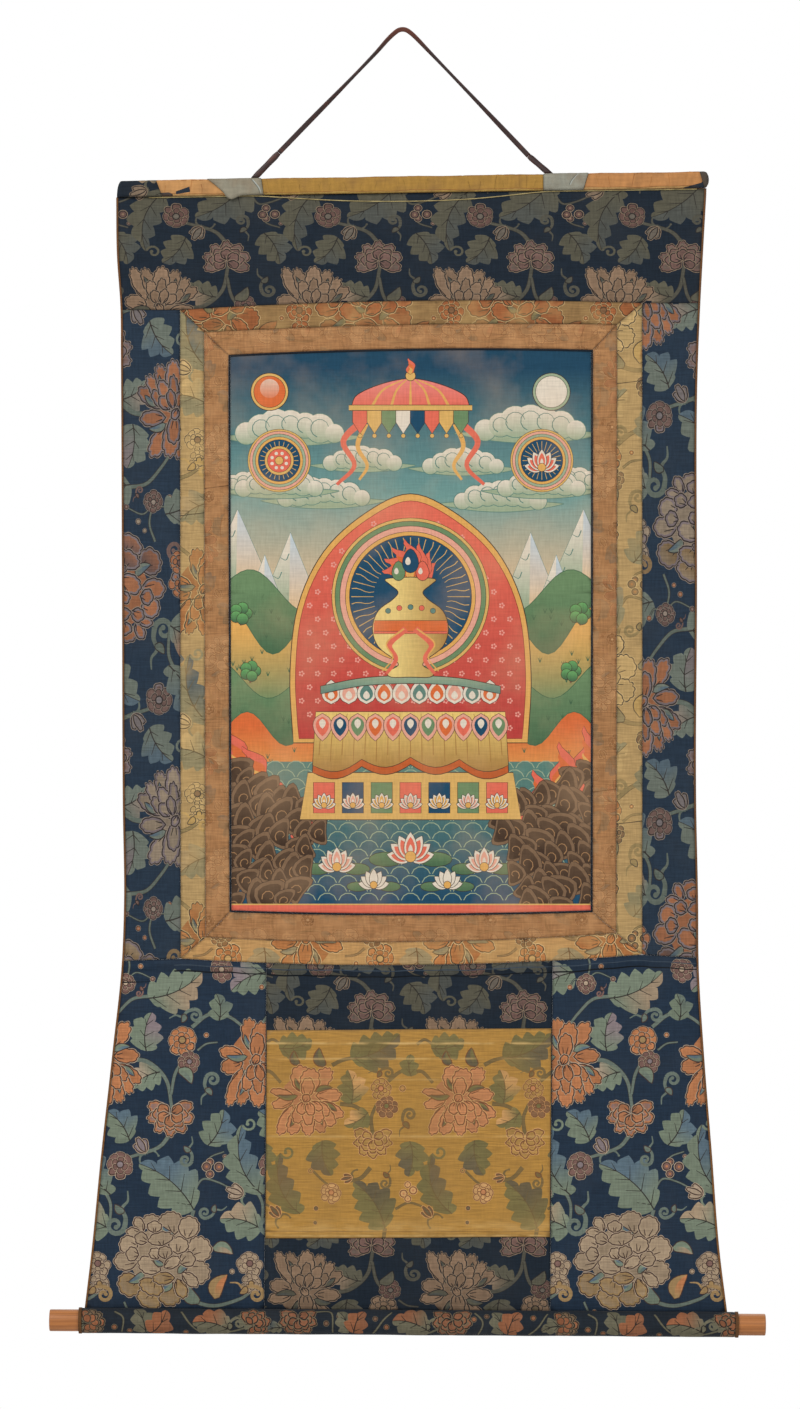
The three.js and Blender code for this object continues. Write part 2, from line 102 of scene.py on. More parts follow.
@dataclass(frozen=True)
class Rect:
    """A border's rectangle as it hangs: corners, and how far its level edges bow up at the middle."""

    top_left: complex
    top_right: complex
    bottom_left: complex
    bottom_right: complex
    top_bow: float
    bottom_bow: float

    @staticmethod
    def _level(x: np.ndarray, start: complex, end: complex, bow: float) -> np.ndarray:
        """Give z along a level edge, with its bow."""
        share = np.clip((x - start.real) / (end.real - start.real), 0, 1)
        return start.imag + (end.imag - start.imag) * share + bow * 4 * share * (1 - share)

    @staticmethod
    def _upright(z: np.ndarray, start: complex, end: complex) -> np.ndarray:
        """Give x along an upright edge."""
        return start.real + (end.real - start.real) * (z - start.imag) / (end.imag - start.imag)

    def top(self, x: np.ndarray) -> np.ndarray:
        """Give z along the top edge."""
        return self._level(x, self.top_left, self.top_right, self.top_bow)

    def bottom(self, x: np.ndarray) -> np.ndarray:
        """Give z along the bottom edge."""
        return self._level(x, self.bottom_left, self.bottom_right, self.bottom_bow)

    def left(self, z: np.ndarray) -> np.ndarray:
        """Give x along the left edge."""
        return self._upright(z, self.top_left, self.bottom_left)

    def right(self, z: np.ndarray) -> np.ndarray:
        """Give x along the right edge."""
        return self._upright(z, self.top_right, self.bottom_right)


GOLD_OUTER = Rect(-278 - 347.5j, 299.5 - 339j, -277 - 1158j, 299.5 - 1153j, 7, -10.5)
COPPER_OUTER = Rect(-248 - 375.5j, 268 - 366j, -246 - 1131j, 267 - 1126j, 4.7, -8.5)
PIPING_OUTER = Rect(-217.5 - 404j, 238 - 397.5j, -216 - 1100j, 237.5 - 1100j, 4.6, -4)


class Crease(NamedTuple):
    """A soft trough (rise below zero) or ridge in the cloth, along a short straight line."""

    x: float
    z: float
    reach: float
    width: float
    rise: float
    tilt: float = 0.0


CREASES = (
    Crease(-330, -1188, 34, 3.0, -1.3, 2),
    Crease(-290, -1205, 60, 4.0, -0.7, -3),
    Crease(-345, -1390, 60, 4.0, -1.0, 6),
    Crease(-250, -1402, 70, 4.0, 0.8, -2),
    Crease(-300, -1556, 90, 5.0, 0.9, 3),
    Crease(230, -1343, 60, 2.6, -1.0, 0),
    Crease(300, -1300, 80, 5.0, 0.8, -4),
    Crease(330, -1440, 70, 4.5, -0.9, 5),
    Crease(260, -1545, 90, 5.0, 0.9, -2),
    Crease(-60, -1264, 130, 3.4, 1.0, -0.5),
    Crease(120, -1262, 90, 3.0, 0.8, 0.6),
    Crease(-90, -1285, 100, 3.4, 1.0, 1),
    Crease(60, -1310, 120, 4.5, 0.7, -1),
    Crease(30, -1384, 190, 2.6, 0.8, 0.4),
    Crease(-40, -1448, 120, 6.0, 0.6, 0),
    Crease(0, -1500, 220, 3.4, 1.1, 0.3),
    Crease(-250, -262, 90, 5.0, 0.7, 4),
    Crease(180, -255, 110, 6.0, 0.7, -3),
    Crease(-312, -620, 40, 5.0, 0.8, 8),
    Crease(-312, -905, 40, 5.0, -0.7, -6),
    Crease(334, -560, 40, 5.0, 0.8, -7),
    Crease(334, -830, 40, 5.0, -0.7, 5),
    Crease(-90, -700, 120, 7.0, 0.6, 2),
    Crease(120, -930, 110, 7.0, 0.5, -3),
)


@dataclass(frozen=True)
class Flute:
    """One wave of the fluted lower cloth."""

    wave: float
    shift: float
    share: float


@dataclass(frozen=True)
class Hang:
    """Depth of the hung cloth's middle surface, and its side edges, seams and ends."""

    top: float = -201.0
    foot: float = -1597.0
    axis: float = 10.0
    half_width: float = 380.0
    belly: float = 7.0
    foot_back: float = 2.0
    curl: float = 5.0
    flute: float = 3.2
    flutes: tuple[Flute, ...] = (Flute(262, -40, 0.65), Flute(171, 55, 0.35))
    flute_start: float = 0.6
    flute_full: float = 0.8
    flute_end: float = 0.93
    roll: tuple[float, float, float] = (7.0, 5.5, 1.3)
    tuck: tuple[float, float, float] = (15.0, 4.5, -2.1)
    foot_seam_left: float = -1161.0
    foot_seam_right: float = -1157.5

    @staticmethod
    def _edge(z: np.ndarray, column: str) -> np.ndarray:
        """Read a side edge's table at any height, on a smooth curve through its rows.

        Args:
            z: the heights.
            column: the edge's column in the table.

        Returns:
            The edge's x.
        """
        keys = np.array([row.z for row in reversed(OUTLINE)], float)
        values = np.array([getattr(row, column) for row in reversed(OUTLINE)], float)
        at = np.clip(np.asarray(z, float), keys[0], keys[-1])
        slopes = np.gradient(values, keys)
        low = np.clip(np.searchsorted(keys, at) - 1, 0, len(keys) - 2)
        step = keys[low + 1] - keys[low]
        t = (at - keys[low]) / step
        start = (1 + 2 * t) * (1 - t) ** 2 * values[low] + t * (1 - t) ** 2 * step * slopes[low]
        end = t ** 2 * (3 - 2 * t) * values[low + 1] + t ** 2 * (t - 1) * step * slopes[low + 1]
        return start + end

    def left(self, z: np.ndarray) -> np.ndarray:
        """Give x of the cloth's left edge."""
        return self._edge(z, "left")

    def right(self, z: np.ndarray) -> np.ndarray:
        """Give x of the cloth's right edge."""
        return self._edge(z, "right")

    def foot_seam(self, x: np.ndarray) -> np.ndarray:
        """Give z of the seam under the painting, from one side edge to the other.

        Args:
            x: places across.

        Returns:
            The seam's z.
        """
        x = np.asarray(x, float)
        keys = [-350.5, GOLD_OUTER.bottom_left.real, GOLD_OUTER.bottom_right.real, 370]
        ends = [self.foot_seam_left, GOLD_OUTER.bottom_left.imag, GOLD_OUTER.bottom_right.imag]
        outside = np.interp(x, keys, ends + [self.foot_seam_right])
        inside = (x >= keys[1]) & (x <= keys[2])
        return np.where(inside, GOLD_OUTER.bottom(x), outside)

    def depth(self, x: np.ndarray, z: np.ndarray) -> np.ndarray:
        """Give y of the cloth's middle surface.

        Args:
            x: places across.
            z: places up.

        Returns:
            Depths away from the viewer.
        """
        drop = np.clip((self.top - z) / (self.top - self.foot), 0, 1)
        side = (x - self.axis) / self.half_width
        swell = np.sin(np.pi * drop)
        opening = np.clip((drop - self.flute_start) / (self.flute_full - self.flute_start), 0, 1)
        closing = np.clip((drop - self.flute_end) / (1 - self.flute_end), 0, 1)
        fluting = opening ** 2 * (3 - 2 * opening) * (1 - closing ** 2 * (3 - 2 * closing))
        flutes = sum(f.share * np.cos(2 * np.pi * (x - f.shift) / f.wave) for f in self.flutes)
        below = self.foot_seam(x) - z
        folds = sum(rise * np.exp(-((below - at) / width) ** 2) for at, width, rise in (self.roll, self.tuck))
        towards = self.belly * swell - self.curl * swell * side ** 6 + self.flute * fluting * flutes
        return self.foot_back * drop ** 4 - towards - np.where(below > 0, folds, 0) - self.creased(x, z)

    @staticmethod
    def creased(x: np.ndarray, z: np.ndarray) -> np.ndarray:
        """Give how far the small creases bring the cloth towards the viewer.

        Args:
            x: places across.
            z: places up.

        Returns:
            The distances.
        """
        total = np.zeros(np.shape(x))
        for crease in CREASES:
            turned = ((x - crease.x) + 1j * (z - crease.z)) * np.exp(-1j * math.radians(crease.tilt))
            fade = (turned.real / crease.reach) ** 4 + (turned.imag / crease.width) ** 2
            total += crease.rise * np.exp(-fade)
        return total


HANG = Hang()


# Drawing on cloth


@dataclass(frozen=True)
class Fill:
    """A colour, or a run from one colour to another between two points."""

    low: str
    high: Optional[str] = None
    start: complex = 0j
    end: complex = 1j
    shade: float = 1.0

    def at(self, points: Points) -> np.ndarray:
        """Give the linear colours at points.

        Args:
            points: places on the cloth.

        Returns:
            One row of four values for each point.
        """
        low = np.array(linear(self.low))
        colours = np.repeat(low[None, :], points.size, axis=0)
        if self.high is not None:
            line = self.end - self.start
            share = ((points - self.start) * np.conj(line)).real / abs(line) ** 2
            share = np.clip(share, 0, 1)[:, None]
            colours = colours * (1 - share) + np.array(linear(self.high))[None, :] * share
        colours[:, :3] *= self.shade
        return colours


def offset(points: Points, distance: float) -> Points:
    """Move a closed outline outwards.

    Args:
        points: the outline.
        distance: how far, or inwards if below zero.

    Returns:
        The moved outline.
    """
    along = np.roll(points, -1) - np.roll(points, 1)
    area = np.sum((np.conj(points) * np.roll(points, -1)).imag)
    normal = -1j * along / np.maximum(np.abs(along), 1e-9)
    return points + normal * distance * (1 if area > 0 else -1)


def smooth_path(points: Sequence[complex], steps: int = 10) -> Points:
    """Run a smooth curve through points.

    Args:
        points: places that the curve passes.
        steps: how many steps between two of them.

    Returns:
        Points along the curve.
    """
    knots = [2 * points[0] - points[1], *points, 2 * points[-1] - points[-2]]
    path = []
    for before, a, b, after in zip(knots, knots[1:], knots[2:], knots[3:]):
        for t in np.linspace(0, 1, steps, endpoint=False):
            curve = 2 * a + (b - before) * t + (2 * before - 5 * a + 4 * b - after) * t ** 2
            path.append((curve + (3 * a - before - 3 * b + after) * t ** 3) / 2)
    path.append(points[-1])
    return np.array(path)


def ribbon(path: Points, start: float, end: float) -> Points:
    """Make the outline of a line that tapers.

    Args:
        path: the line's middle.
        start: width at the first point.
        end: width at the last point.

    Returns:
        The closed outline.
    """
    along = np.gradient(path)
    normal = 1j * along / np.maximum(np.abs(along), 1e-9)
    half = np.linspace(start, end, path.size) / 2
    return np.concatenate([path + normal * half, (path - normal * half)[::-1]])


def circle(centre: complex, radius: float, count: int = 20) -> Points:
    """Make a round outline."""
    return centre + radius * np.exp(2j * np.pi * np.arange(count) / count)


def within(points: Points, loop: Points) -> np.ndarray:
    """Tell which points lie inside a closed outline.

    Args:
        points: the places to test.
        loop: the outline.

    Returns:
        One truth value for each point.
    """
    a, b = loop[None, :], np.roll(loop, -1)[None, :]
    line = b - a
    found = []
    for part in np.array_split(points, points.size * loop.size // 1500000 + 1):
        p = part[:, None]
        side = line.real * (p.imag - a.imag) - (p.real - a.real) * line.imag
        rising = (a.imag <= p.imag) & (b.imag > p.imag) & (side > 0)
        falling = (a.imag > p.imag) & (b.imag <= p.imag) & (side < 0)
        found.append(rising.sum(axis=1) != falling.sum(axis=1))
    return np.concatenate(found)


def box(points: Points) -> tuple[complex, complex]:
    """Give the lowest and highest corners round points."""
    return complex(points.real.min(), points.imag.min()), complex(points.real.max(), points.imag.max())


def in_box(points: Points, low: complex, high: complex) -> np.ndarray:
    """Tell which points lie between two corners."""
    across = (points.real > low.real) & (points.real < high.real)
    return across & (points.imag > low.imag) & (points.imag < high.imag)


class Shape(NamedTuple):
    """One filled outline; a later one covers an earlier one. Seen tells which of its edges show."""

    outline: Points
    fill: object
    shade: float = 1.0
    seen: Optional[np.ndarray] = None


class Drawing:
    """Filled outlines in the order in which they are laid."""

    def __init__(self) -> None:
        """Start with nothing drawn."""
        self.shapes: list[Shape] = []

    def add(self, outline: Points, fill: object, shade: float = 1.0) -> None:
        """Lay a filled outline over what is drawn."""
        self.shapes.append(Shape(np.asarray(outline, complex), fill, shade))

    def stroke(self, path: Points, start: float, end: float, fill: object, line: object = None) -> None:
        """Lay a tapering line, with an edge if one is given.

        Args:
            path: its middle.
            start: its width where it starts.
            end: its width where it ends.
            fill: its colour.
            line: the edge's colour, if it has one.
        """
        if line is not None:
            self.add(ribbon(path, start + 1.3, end + 1.3), line)
        self.add(ribbon(path, start, end), fill)

    def disc(self, centre: complex, radius: float, fill: object, count: int = 20) -> None:
        """Lay a round spot."""
        self.add(circle(centre, radius, count), fill)

    def cull(self) -> None:
        """Mark the edges that later shapes cover, which need no cut in the cloth."""
        low, high = np.array([box(shape.outline) for shape in self.shapes]).T
        for k, shape in enumerate(self.shapes):
            meets = (low.real[k + 1:] < high[k].real) & (high.real[k + 1:] > low[k].real)
            meets &= (low.imag[k + 1:] < high[k].imag) & (high.imag[k + 1:] > low[k].imag)
            count = shape.outline.size
            middle = (shape.outline + np.roll(shape.outline, -1)) / 2
            hidden = np.zeros(count, bool)
            for j in np.nonzero(meets)[0] + k + 1:
                inside = within(np.concatenate([shape.outline, middle]), self.shapes[j].outline)
                hidden |= inside[:count] & np.roll(inside[:count], -1) & inside[count:]
            self.shapes[k] = shape._replace(seen=~hidden)


# The brocade's repeat


class Yarn(Enum):
    """Yarns of the brocade, by what they draw."""

    LINE = "line"
    VEIN = "vein"
    SAGE = "sage"
    BLUE = "blue"
    STEM = "stem"
    CREAM = "cream"
    ORANGE = "orange"
    ROSE = "rose"
    MAUVE = "mauve"
    LILAC = "lilac"
    GOLD = "gold"
    PALE = "pale"


# The charts name the yarns, the motifs and the parts of a flower without their class
LINE, VEIN, SAGE, BLUE, STEM, CREAM, ORANGE, ROSE, MAUVE, LILAC, GOLD, PALE = Yarn


@dataclass(frozen=True)
class Colourway:
    """Colours of the yarns in one cloth; rim colours the petals' rims where they differ from the petals."""

    ground: str
    line: str
    vein: str
    sage: str
    blue: str
    stem: str
    cream: str
    orange: str
    rose: str
    mauve: str
    lilac: str
    gold: str
    pale: str
    rim: str = ""

    def of(self, yarn: Yarn) -> str:
        """Give a yarn's colour."""
        return getattr(self, yarn.value)


NAVY_BRIGHT = Colourway(
    ground="213041", line="45332d", vein="332f2c", sage="76816f", blue="5a6d79", stem="69746a",
    cream="a38e75", orange="b87950", rose="ab7350", mauve="7d5f57", lilac="85787a", gold="9e8158",
    pale="b29d86")
NAVY_SIDE = Colourway(
    ground="253342", line="322b29", vein="35302d", sage="686f65", blue="52616a", stem="5e665d",
    cream="8f7f6c", orange="9b6647", rose="8a6050", mauve="6b554e", lilac="726a69", gold="80694b",
    pale="8a7c70", rim="75696a")
NAVY_DIM = Colourway(
    ground="1b2530", line="292524", vein="2f2c28", sage="575446", blue="4c4e49", stem="504e44",
    cream="8d7860", orange="886f59", rose="725850", mauve="644c45", lilac="675f55", gold="70604a",
    pale="8a7662")
NAVY_SLEEVE = Colourway(
    ground="1f262e", line="25211f", vein="2a2723", sage="6a6653", blue="4f5450", stem="625f4d",
    cream="7c6753", orange="8f5b3e", rose="85583f", mauve="6a4c3b", lilac="60554a", gold="70583f",
    pale="77664f")
DOOR_GOLD = Colourway(
    ground="ac8039", line="74472a", vein="685634", sage="756a3e", blue="64583f", stem="745f38",
    cream="86744c", orange="bd7f52", rose="ad8446", mauve="866040", lilac="c2925a", gold="ae8747",
    pale="c99a63")
BORDER_GOLD = Colourway(
    ground="ae9060", line="4a4236", vein="695a3f", sage="8f8462", blue="5f6561", stem="8e7a52",
    cream="bd9e6a", orange="ae7546", rose="a87a4c", mauve="86694a", lilac="a58c64", gold="b8965c",
    pale="cbac78")
FOOT_GOLD = Colourway(
    ground="ba8f5a", line="5e4832", vein="76593a", sage="998763", blue="84795e", stem="967850",
    cream="cba46c", orange="bb7a47", rose="b87d4c", mauve="946b45", lilac="b59264", gold="c59d63",
    pale="d8b884")
HEAD_GOLD = Colourway(
    ground="8c6d45", line="54402c", vein="5f4c33", sage="746a48", blue="636352", stem="7b6646",
    cream="a5855a", orange="995c36", rose="93623c", mauve="7d5a3e", lilac="8d7450", gold="9f7f50",
    pale="c0a071")
BORDER_COPPER = Colourway(
    ground="a1734a", line="8a5d38", vein="8f633c", sage="8f6d4b", blue="8a6c50", stem="9a7048",
    cream="ad8157", orange="a5714a", rose="a3744b", mauve="946740", lilac="a3764c", gold="ab7d52",
    pale="b48a60")


class Motif(Enum):
    """Motifs of the repeat."""

    FULL_PEONY = "full peony"
    LONG_PEONY = "long-petalled peony"
    HALF_PEONY = "half peony"
    LEAF = "lobed leaf"
    SLIM_LEAF = "slim leaf"
    ROSETTE = "rosette"
    BERRIES = "berries"
    CURL = "curl"
    SPRIG = "sprig"


FULL_PEONY, LONG_PEONY, HALF_PEONY, LEAF, SLIM_LEAF, ROSETTE, BERRIES, CURL, SPRIG = Motif


class Dye(NamedTuple):
    """A yarn that gives way to another between two places."""

    yarn: Yarn
    toward: Yarn
    start: complex
    end: complex


class Rim(NamedTuple):
    """The rim of a petal woven in a yarn."""

    yarn: Yarn


class Sprout(NamedTuple):
    """A motif of the repeat: its place, size, the way it points, its yarns and its stretch upwards."""

    motif: Motif
    across: float
    down: float
    size: float
    points: float
    yarn: Yarn
    second: Yarn
    stretch: float = 1.0


class Stem(NamedTuple):
    """A stem of the repeat: places along it and its width."""

    places: tuple[tuple[float, float], ...]
    width: float


NAVY_STEMS = tuple(Stem(*row) for row in (
    (((100, -44), (122, -60), (146, -57), (169, -40)), 4.6),
    (((50, -83), (26, -79), (8, -62), (-6, -44)), 4.0), (((21, -4), (46, 0), (68, 22), (75, 57)), 5.4),
    (((96, -8), (80, 12), (74, 40)), 4.4), (((107, -15), (118, -23), (132, -25)), 2.2),
    (((72, 91), (57, 107), (21, 119)), 5.0), (((180, 160), (188, 178), (187, 204)), 4.0),
    (((102, 185), (96, 205), (86, 215)), 4.6), (((117, 128), (124, 118), (140, 112)), 2.0),
    (((104, 158), (114, 146), (132, 150), (148, 158)), 2.4),
    (((94, 297), (126, 305), (158, 297), (174, 287)), 4.8), (((15, 300), (22, 320), (17, 343)), 2.4),
    (((17, 343), (30, 330), (50, 337)), 1.6), (((17, 343), (4, 338), (-3, 347)), 1.4),
))

NAVY_SPROUTS = tuple(Sprout(*row) for row in (
    (LEAF, 46, -80, 70, 26, SAGE, CREAM), (CURL, 34, -86, 8, 60, MAUVE, PALE),
    (ROSETTE, 137, -116, 13, 0, MAUVE, PALE), (LEAF, 192, -112, 46, 208, SAGE, LILAC),
    (LEAF, 134, -52, 32, 96, SAGE, STEM), (CURL, 104, -58, 17, 190, STEM, STEM),
    (LEAF, 43, -14, 46, 82, SAGE, LILAC), (ROSETTE, 88, -28, 16, 10, ORANGE, GOLD),
    (ROSETTE, 97, -1, 12, 30, MAUVE, LILAC), (BERRIES, 118, -34, 6, 40, ORANGE, PALE),
    (LEAF, 60, 12, 38, 210, SAGE, PALE), (CURL, 126, 22, 18, -110, STEM, STEM),
    (SLIM_LEAF, 84, 8, 24, -50, SAGE, STEM), (LEAF, 120, 104, 46, 66, SAGE, BLUE),
    (LEAF, 22, 98, 44, 128, SAGE, BLUE), (HALF_PEONY, 73, 66, 31, -90, ROSE, LILAC),
    (SPRIG, 38, 106, 21, 120, LILAC, STEM), (ROSETTE, 10, 128, 15, 0, MAUVE, LILAC),
    (BERRIES, 126, 132, 13, 0, MAUVE, ORANGE), (BERRIES, 141, 118, 5, 0, MAUVE, PALE),
    (LEAF, 102, 184, 84, 140, SAGE, BLUE), (CURL, 92, 122, 16, 80, STEM, STEM),
    (SLIM_LEAF, 188, 166, 92, 106, SAGE, BLUE), (SPRIG, 156, 163, 22, 160, PALE, SAGE),
    (CURL, 4, 204, 24, 75, STEM, STEM), (CURL, 116, 188, 15, 20, STEM, STEM),
    (LEAF, 186, 209, 50, 166, SAGE, CREAM), (SLIM_LEAF, 126, 232, 26, -18, SAGE, CREAM),
    (ROSETTE, 172, 252, 14, 0, CREAM, MAUVE), (ROSETTE, 174, 277, 12, 20, CREAM, GOLD),
    (BERRIES, 150, 262, 6, 90, CREAM, PALE), (SLIM_LEAF, 128, 296, 34, 62, GOLD, ORANGE),
    (CURL, -10, 291, 19, 160, GOLD, GOLD), (SLIM_LEAF, 108, 302, 30, 120, SAGE, STEM),
    (ROSETTE, 17, 343, 11, 0, MAUVE, PALE), (BERRIES, -3, 348, 6, 0, ORANGE, PALE),
    (BERRIES, 36, 322, 6, 0, ORANGE, PALE), (BERRIES, 51, 338, 6, 0, MAUVE, PALE),
    (BERRIES, 28, 312, 5, 0, ORANGE, PALE), (LONG_PEONY, -12, 0, 47, 0, ORANGE, SAGE, 1.25),
    (FULL_PEONY, 64, 246, 62, 0, CREAM, SAGE),
))

DOOR_STEMS = tuple(Stem(*row) for row in (
    (((34, -44), (46, -50), (62, -54)), 4.0), (((104, -24), (120, -36), (133, -33)), 3.6),
    (((133, -33), (146, -36), (160, -22)), 3.6), (((-50, -70), (-40, -76), (-28, -68)), 2.6),
    (((44, 4), (64, 8), (80, 22), (85, 44)), 4.0), (((85, 42), (83, 22), (90, 4)), 3.6),
    (((82, 84), (70, 97), (54, 101)), 4.4), (((113, 136), (130, 128), (150, 134)), 2.2),
    (((10, 88), (22, 100), (30, 106)), 2.0), (((100, 160), (98, 176)), 4.0),
))

DOOR_SPROUTS = tuple(Sprout(*row) for row in (
    (LEAF, -32, -65, 40, 14, SAGE, SAGE), (LEAF, 58, -52, 64, 27, SAGE, BLUE),
    (SLIM_LEAF, 24, -42, 24, 104, BLUE, SAGE), (SLIM_LEAF, -8, -44, 18, 108, BLUE, SAGE),
    (LEAF, 133, -30, 26, 92, SAGE, SAGE), (CURL, 104, -34, 13, 184, STEM, STEM),
    (LEAF, 58, 4, 40, 96, SAGE, LILAC), (ROSETTE, 95, -15, 12, 0, ROSE, ORANGE),
    (ROSETTE, 102, 7, 12, 20, MAUVE, SAGE), (BERRIES, 122, -15, 8, 30, ROSE, ORANGE),
    (LEAF, 79, 15, 32, 208, SAGE, LILAC), (HALF_PEONY, 85, 50, 26, -90, ROSE, ROSE),
    (CURL, 131, 18, 16, 250, STEM, STEM), (LEAF, 22, 50, 43, -76, SAGE, BLUE),
    (LEAF, 131, 51, 42, -92, SAGE, BLUE), (SLIM_LEAF, -6, 142, 80, 108, SAGE, BLUE),
    (ROSETTE, 33, 115, 12, 0, PALE, ORANGE), (BERRIES, 7, 88, 6, 0, ROSE, BLUE),
    (SPRIG, 54, 97, 14, 190, BLUE, STEM), (CURL, 100, 104, 13, 80, STEM, STEM),
    (BERRIES, 129, 114, 12, 0, PALE, ORANGE), (LEAF, 100, 160, 66, 124, SAGE, BLUE),
    (BERRIES, 14, 135, 6, 0, BLUE, STEM), (BERRIES, 13, 153, 5, 0, BLUE, STEM),
    (SPRIG, -36, 141, 17, 130, BLUE, STEM), (LONG_PEONY, 0, 0, 47, 0, ORANGE, SAGE),
))

SLEEVE_STEMS = tuple(Stem(*row) for row in (
    (((27, -14), (38, -5), (36, 14)), 2.2), (((110, -14), (120, 0), (136, 15)), 2.2),
    (((150, 12), (168, 13), (190, 6)), 3.4), (((276, -15), (297, -14), (299, 13)), 2.2),
    (((349, 14), (360, -2), (373, -15)), 2.2), (((398, 13), (416, 13), (434, 4)), 3.4),
    (((476, -15), (486, -2), (480, 15)), 2.2), (((543, 15), (556, 2), (567, -14)), 2.2),
))

SLEEVE_SPROUTS = tuple(Sprout(*row) for row in (
    (LEAF, -6, 2, 24, 196, SAGE, STEM), (HALF_PEONY, -2, 1, 20, 4, ORANGE, SAGE),
    (BERRIES, 27, 6, 7, 0, ORANGE, PALE), (BERRIES, 46, 11, 6.5, 0, ORANGE, PALE),
    (LEAF, 66, 14, 33, 112, SAGE, STEM), (LEAF, 72, 15, 35, 58, ORANGE, ROSE),
    (BERRIES, 130, -2, 6.5, 0, ORANGE, PALE), (BERRIES, 116, 13, 6.5, 0, ORANGE, PALE),
    (LEAF, 172, 10, 46, 168, SAGE, ORANGE), (CURL, 182, 0, 14, 200, SAGE, STEM),
    (LEAF, 200, 4, 22, 150, SAGE, STEM), (HALF_PEONY, 202, 2, 23, 16, ORANGE, SAGE),
    (LEAF, 236, 6, 18, 190, SAGE, BLUE), (HALF_PEONY, 256, -4, 25, -90, ROSE, SAGE),
    (BERRIES, 291, 0, 6.5, 0, MAUVE, PALE), (BERRIES, 307, -9, 6, 0, MAUVE, PALE),
    (LEAF, 320, 13, 30, 116, SAGE, STEM), (LEAF, 325, 14, 31, 66, ORANGE, ROSE),
    (BERRIES, 366, 4, 6.5, 0, ORANGE, PALE), (BERRIES, 352, -6, 6, 0, MAUVE, PALE),
    (LEAF, 420, 10, 46, 164, SAGE, ROSE), (CURL, 428, 0, 13, 200, SAGE, STEM),
    (HALF_PEONY, 448, -4, 26, -90, ROSE, SAGE), (BERRIES, 475, -6, 6.5, 0, ORANGE, PALE),
    (BERRIES, 491, -10, 6, 0, MAUVE, PALE), (LEAF, 512, 14, 31, 114, SAGE, STEM),
    (LEAF, 517, 15, 33, 64, ORANGE, ROSE), (BERRIES, 549, -8, 6.5, 0, ORANGE, PALE),
    (BERRIES, 562, 6, 6, 0, ORANGE, PALE),
))


class Part(Enum):
    """Parts of a charted flower."""

    PETAL = "petal"
    GOLDEN = "golden petal"
    SEPAL = "slim sepal"


PETAL, GOLDEN, SEPAL = Part


class Petal(NamedTuple):
    """A petal or sepal: where it starts from the flower's middle, the way it points and its size."""

    across: float
    down: float
    points: float
    length: float
    width: float
    part: Part = PETAL


LONG_FLOWER = tuple(Petal(*row) for row in (
    (1, -7, 104, 42, 29), (5, -9, 48, 46, 27), (12, -6, 2, 38, 20), (-12, -6, 169, 36, 15),
    (-13, 0, 193, 33, 18), (13, 2, -26, 44, 21), (2, -5, 77, 40, 30), (-15, 4, 245, 48, 19),
    (8, 4, 318, 44, 22), (-3, 5, 248, 45, 23), (5, 5, 298, 44, 23), (2, 5, 274, 44, 23),
    (-10, -6, 178, 27, 6, SEPAL), (15, -12, 12, 22, 6, SEPAL), (-13, 8, 256, 28, 6, SEPAL),
    (24, 6, -25, 20, 6, SEPAL), (-3, -14, 122, 18, 5, SEPAL), (12, 14, 300, 22, 5, SEPAL),
    (2, -1, 84, 31, 22), (8, 2, 326, 31, 18), (0, 2, 246, 32, 19), (5, 2, 304, 33, 18), (2, 2, 276, 33, 18),
    (-8, -2, 338, 26, 12), (8, 0, 318, 21, 15), (0, 0, 250, 21, 15), (4, 0, 285, 22, 15),
    (-2, 4, 60, 15, 13),
))

FULL_FLOWER = tuple(Petal(*row) for row in (
    (-14, -36, 97, 22, 20), (14, -28, 104, 34, 27), (29, -23, 79, 33, 21), (31, -3, 33, 34, 26),
    (27, 10, -22, 35, 24), (-25, -32, 115, 24, 12), (-26, -32, 172, 22, 11), (-30, -16, 173, 27, 18),
    (-30, 4, 177, 34, 22), (-28, 24, 210, 33, 23, GOLDEN), (-11, 40, 237, 26, 24, GOLDEN),
    (12, 27, 259, 35, 27, GOLDEN), (17, 23, -70, 30, 13, GOLDEN), (22, 16, -40, 30, 15),
    (14, -29, 141, 20, 7, SEPAL), (19, 18, 34, 20, 7, SEPAL), (-25, 18, 212, 22, 9, SEPAL),
    (11, 29, 217, 20, 8, SEPAL), (-11, -31, 90, 19, 18), (-18, -21, 153, 21, 14), (-29, -5, 174, 20, 15),
    (-9, 23, 243, 26, 24, GOLDEN), (17, 24, 182, 32, 16, GOLDEN), (20, 7, 32, 24, 19), (18, -4, 83, 26, 23),
    (-1, -15, 101, 21, 27), (-1, 16, 155, 35, 21), (0, 8, 142, 15, 6, SEPAL), (-6, 2, 117, 19, 15),
    (3, 2, 93, 20, 16), (-1, 12, 31, 27, 13),
))


